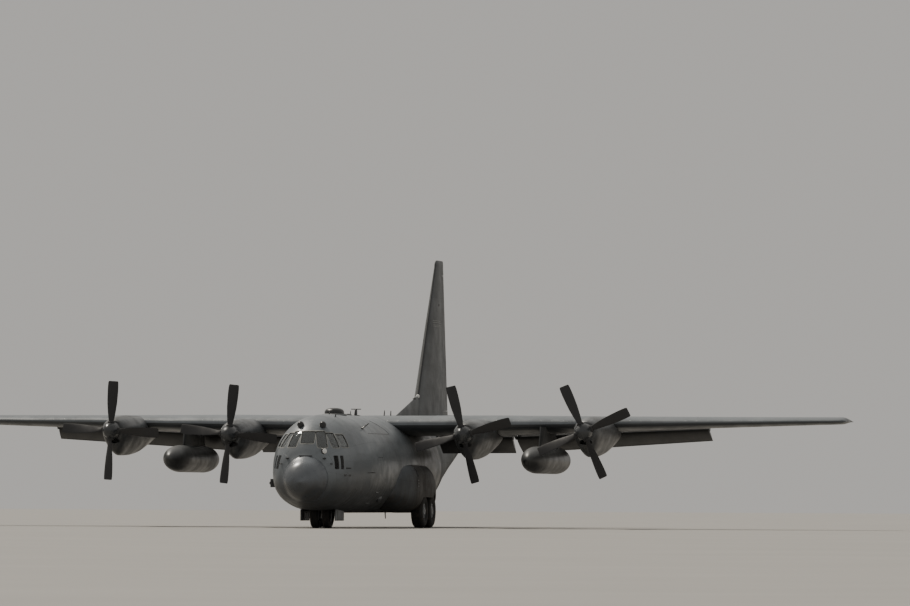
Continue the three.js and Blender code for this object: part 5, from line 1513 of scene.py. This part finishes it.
def rubber_look():
    look = Look("tyre_rubber")
    cloud = look.noise(7.0, 6.0, 0.65)
    dust = look.noise(18.0, 5.0, 0.7)
    base = look.blend(look.between(cloud, 0.35, 0.7), (0.018, 0.018, 0.018), (0.04, 0.038, 0.036))
    base = look.blend(look.between(dust, 0.48, 0.75, 0.0, 0.6), base, (0.14, 0.105, 0.07))
    return look.finish(base, look.between(cloud, 0.3, 0.7, 0.75, 0.95), look.bump(dust, 0.002, 0.4))


def glass_look(name, clean, smeared, bending):
    look = Look(name)
    smear = look.noise(14.0, 5.0, 0.7)
    base = look.blend(look.between(smear, 0.45, 0.75), clean, smeared)
    return look.finish(base, look.between(smear, 0.4, 0.8, 0.02, 0.16), look.bump(smear, 0.0005, 0.1),
                       Transmission_Weight=0.97, IOR=bending)


def lens_look(name, colour):
    look = Look(name)
    ribs = look.noise(60.0, 3.0, 0.6)
    base = look.blend(look.between(ribs, 0.4, 0.7), colour, tuple(min(1, c * 1.25 + 0.02) for c in colour))
    return look.finish(base, look.between(ribs, 0.3, 0.7, 0.04, 0.12), look.bump(ribs, 0.001, 0.4),
                       Transmission_Weight=0.25, IOR=1.45, Coat_Weight=1.0)


def cloth_look(name, colour, scale):
    look = Look(name)
    weave = look.noise(scale, 3.0, 0.6)
    cloud = look.noise(5.0, 5.0, 0.6)
    base = look.blend(look.between(cloud, 0.35, 0.7), shade(colour, 0.7), colour)
    base = look.blend(look.between(weave, 0.5, 0.7, 0.0, 0.3), base, shade(colour, 0.5))
    return look.finish(base, look.between(cloud, 0.3, 0.7, 0.6, 0.85), look.bump(weave, 0.001, 0.4))


def floor_look():
    look = Look("studio_floor")
    cloud = look.noise(0.25, 5.0, 0.6)
    base = look.blend(look.between(cloud, 0.3, 0.75), (0.33, 0.32, 0.3), (0.37, 0.36, 0.34))
    normal = look.bump(look.noise(30.0), 0.001, 0.1)
    return look.finish(base, look.between(cloud, 0.3, 0.7, 0.75, 0.9), normal)


# Scene

body_paint = paint("body_paint", GREY, dust_from=-1.5)
# The aft fuselage's paint is a darker copy of the grey: painted shade for the aft fuselage, with more dirt
aft_shaded_dirty_paint = paint("aft_shaded_dirty_paint", (0.1, 0.108, 0.112), dirt_and_low_shade=1.4, gloss=0.62)
nose_cone_paint = paint("radome_paint", (0.112, 0.124, 0.138), width=4.0, height=4.0, gloss=0.3)
sponson_paint = paint("sponson_paint", (0.1, 0.112, 0.124), dirt_and_low_shade=1.8, dust_from=-2.3, gloss=0.6)
door_paint = paint("door_paint", DARK_GREY, dirt_and_low_shade=1.2)
wing_paint = paint("wing_paint", GREY, "flat", width=0.7, height=0.42, dirt_and_low_shade=0.3)
# The flaps' near-black paint is painted shade for the flaps under the wing, with exhaust soot
flap_paint = paint("flap_paint", (0.036, 0.039, 0.043), "flat", width=0.8, height=0.5, dirt_and_low_shade=0.6, soot=0.35)
tail_paint = paint("tail_paint", GREY, "flat", dirt_and_low_shade=0.3)
# The fin's paint is a darker copy of the tail's grey, painted shade for the fin, with its front faces
# darkened as painted shade too
fin_shaded_paint = paint("fin_shaded_paint", (0.108, 0.115, 0.12), "upright", width=0.6, height=0.5, dirt_and_low_shade=0.2, gloss=0.52,
                  edge=0.9)
nacelle_paint = paint("nacelle_paint", (0.115, 0.123, 0.13), width=0.45, height=0.5, dirt_and_low_shade=0.4, soot=0.55,
                      axis_height=1.96, painted_underside_shade=0.65)
tank_paint = paint("tank_paint", (0.066, 0.069, 0.071), width=0.9, height=3.0, dirt_and_low_shade=0.5, axis_height=1.42)
blade_paint = cloth_look("blade_paint", (0.034, 0.034, 0.036), 40.0)
spinner_paint = plain_metal("spinner_paint", (0.06, 0.064, 0.068), 0.26, 0.4, 4.0, 0.3)
steel = plain_metal("gear_steel", (0.42, 0.42, 0.41), 0.38, 0.6, 8.0, 0.7)
engine_metal = plain_metal("engine_metal", (0.2, 0.19, 0.18), 0.45, 0.7, 8.0, 0.9)
hub_paint = plain_metal("hub_paint", (0.35, 0.36, 0.37), 0.45, 0.7, 9.0, 0.4)
rubber = rubber_look()
glass = glass_look("window_glass", (0.4, 0.47, 0.48), (0.3, 0.33, 0.32), 1.85)
# The foot panes are tinted nearly black: painted shade for the dark nose behind them
foot_glass = glass_look("foot_glass", (0.05, 0.06, 0.06), (0.03, 0.035, 0.035), 1.3)
seal = cloth_look("seal_rubber", (0.06, 0.062, 0.06), 60.0)
dark = plain_metal("dark_paint", (0.022, 0.024, 0.026), 0.28, 0.5, 9.0)
interior = cloth_look("cabin_cloth", (0.16, 0.17, 0.13), 90.0)
cabin_paint = plain_metal("cabin_paint", (0.2, 0.22, 0.21), 0.6, 0.5, 5.0)
aerial_paint = plain_metal("aerial_paint", (0.16, 0.17, 0.18), 0.5, 0.6, 12.0)
frame_paint = plain_metal("frame_paint", (0.3, 0.31, 0.3), 0.5, 0.5, 12.0)
clear_lens = lens_look("clear_lens", (0.85, 0.86, 0.84))
red_lens = lens_look("red_lens", (0.5, 0.02, 0.015))
green_lens = lens_look("green_lens", (0.02, 0.35, 0.12))

make_fuselage(body_paint, aft_shaded_dirty_paint, nose_cone_paint, door_paint)
make_sponsons(sponson_paint)
make_wing(wing_paint, flap_paint)
make_tail(tail_paint, fin_shaded_paint)
make_power_plants(nacelle_paint, blade_paint, spinner_paint, engine_metal)
make_tanks(tank_paint)
make_nose_gear(body_paint, steel, rubber, hub_paint)
make_main_gear(steel, rubber, hub_paint)
make_glazing(glass, foot_glass, seal, frame_paint)
make_cabin(interior, dark)
nose_lamp(dark, clear_lens)
nose_probes(dark)
warning_sensors(dark)
aerials(dark, aerial_paint)
side_fairings(dark, body_paint)
skin_seams(dark)
roof_dome(dark, aerial_paint)
lights(clear_lens, red_lens, green_lens, dark)
fairing_trim(dark)
fin_marks(dark, frame_paint)
static_wicks(dark)

# Floors and wells keep the shape that they came with, under their own paint
for node in ("flight_deck", "cargo_floor", "nose_gear_well"):
    kept = bpy.data.objects[node]
    kept.data.materials.clear()
    kept.data.materials.append(cabin_paint)

# Studio
half = 220.0
sheet = bpy.data.meshes.new("floor")
corners = ((-half, -half), (half, -half), (half, half), (-half, half))
sheet.from_pydata([(x, y, -0.001) for x, y in corners], [], [(0, 1, 2, 3)])
sheet.materials.append(floor_look())
floor = linked(sheet, "floor")


def sun(name, direction, spread, strength, colour):
    """A soft far light that shines from a direction."""
    data = bpy.data.lights.new(name, "SUN")
    data.angle = math.radians(spread)
    data.energy = strength
    data.color = colour
    linked(data, name).rotation_euler = Vector(direction).to_track_quat("Z", "Y").to_euler()


sun("key", (-0.48, 0.36, 0.8), 9, 3.0, (1.0, 0.93, 0.82))
sun("fill", (0.3, -0.8, 0.5), 40, 0.04, (0.9, 0.95, 1.0))

world = bpy.data.worlds.new("studio")
bpy.context.scene.world = world
world.use_nodes = True
background = world.node_tree.nodes["Background"].inputs
background[0].default_value = (0.62, 0.6, 0.57, 1)
background[1].default_value = 0.75

# Camera: far off, a little above the ground, turned to the port side of the nose
AZIMUTH = math.radians(12.4)
ROLL = math.radians(0.29)
DISTANCE = 150.0
FOCAL_PIXELS = 7260
PICTURE_WIDTH = 910
SENSOR_WIDTH = 36
TARGET = (0, 8.5, 1.17)
# The target lies this many pixels to the left of the middle of the picture and below it
PIXELS_LEFT = 108.8
PIXELS_BELOW = 197
back = Vector((math.sin(AZIMUTH), -math.cos(AZIMUTH), 0))
right = Vector((math.cos(AZIMUTH), math.sin(AZIMUTH), 0))
forward = (-back + right * (PIXELS_LEFT / FOCAL_PIXELS) + UP * (PIXELS_BELOW / FOCAL_PIXELS)).normalized()
side = forward.cross(UP).normalized()
top = side.cross(forward)
side, top = (side * math.cos(ROLL) + top * math.sin(ROLL), top * math.cos(ROLL) - side * math.sin(ROLL))
data = bpy.data.cameras.new("camera")
data.sensor_width = SENSOR_WIDTH
data.lens = FOCAL_PIXELS / PICTURE_WIDTH * SENSOR_WIDTH
data.clip_end = 600
camera = linked(data, "camera")
bpy.context.scene.camera = camera
stand = Matrix.Translation(TO_MODEL @ Vector(TARGET) + back * DISTANCE)
camera.matrix_world = stand @ Matrix((side, top, -forward)).transposed().to_4x4()
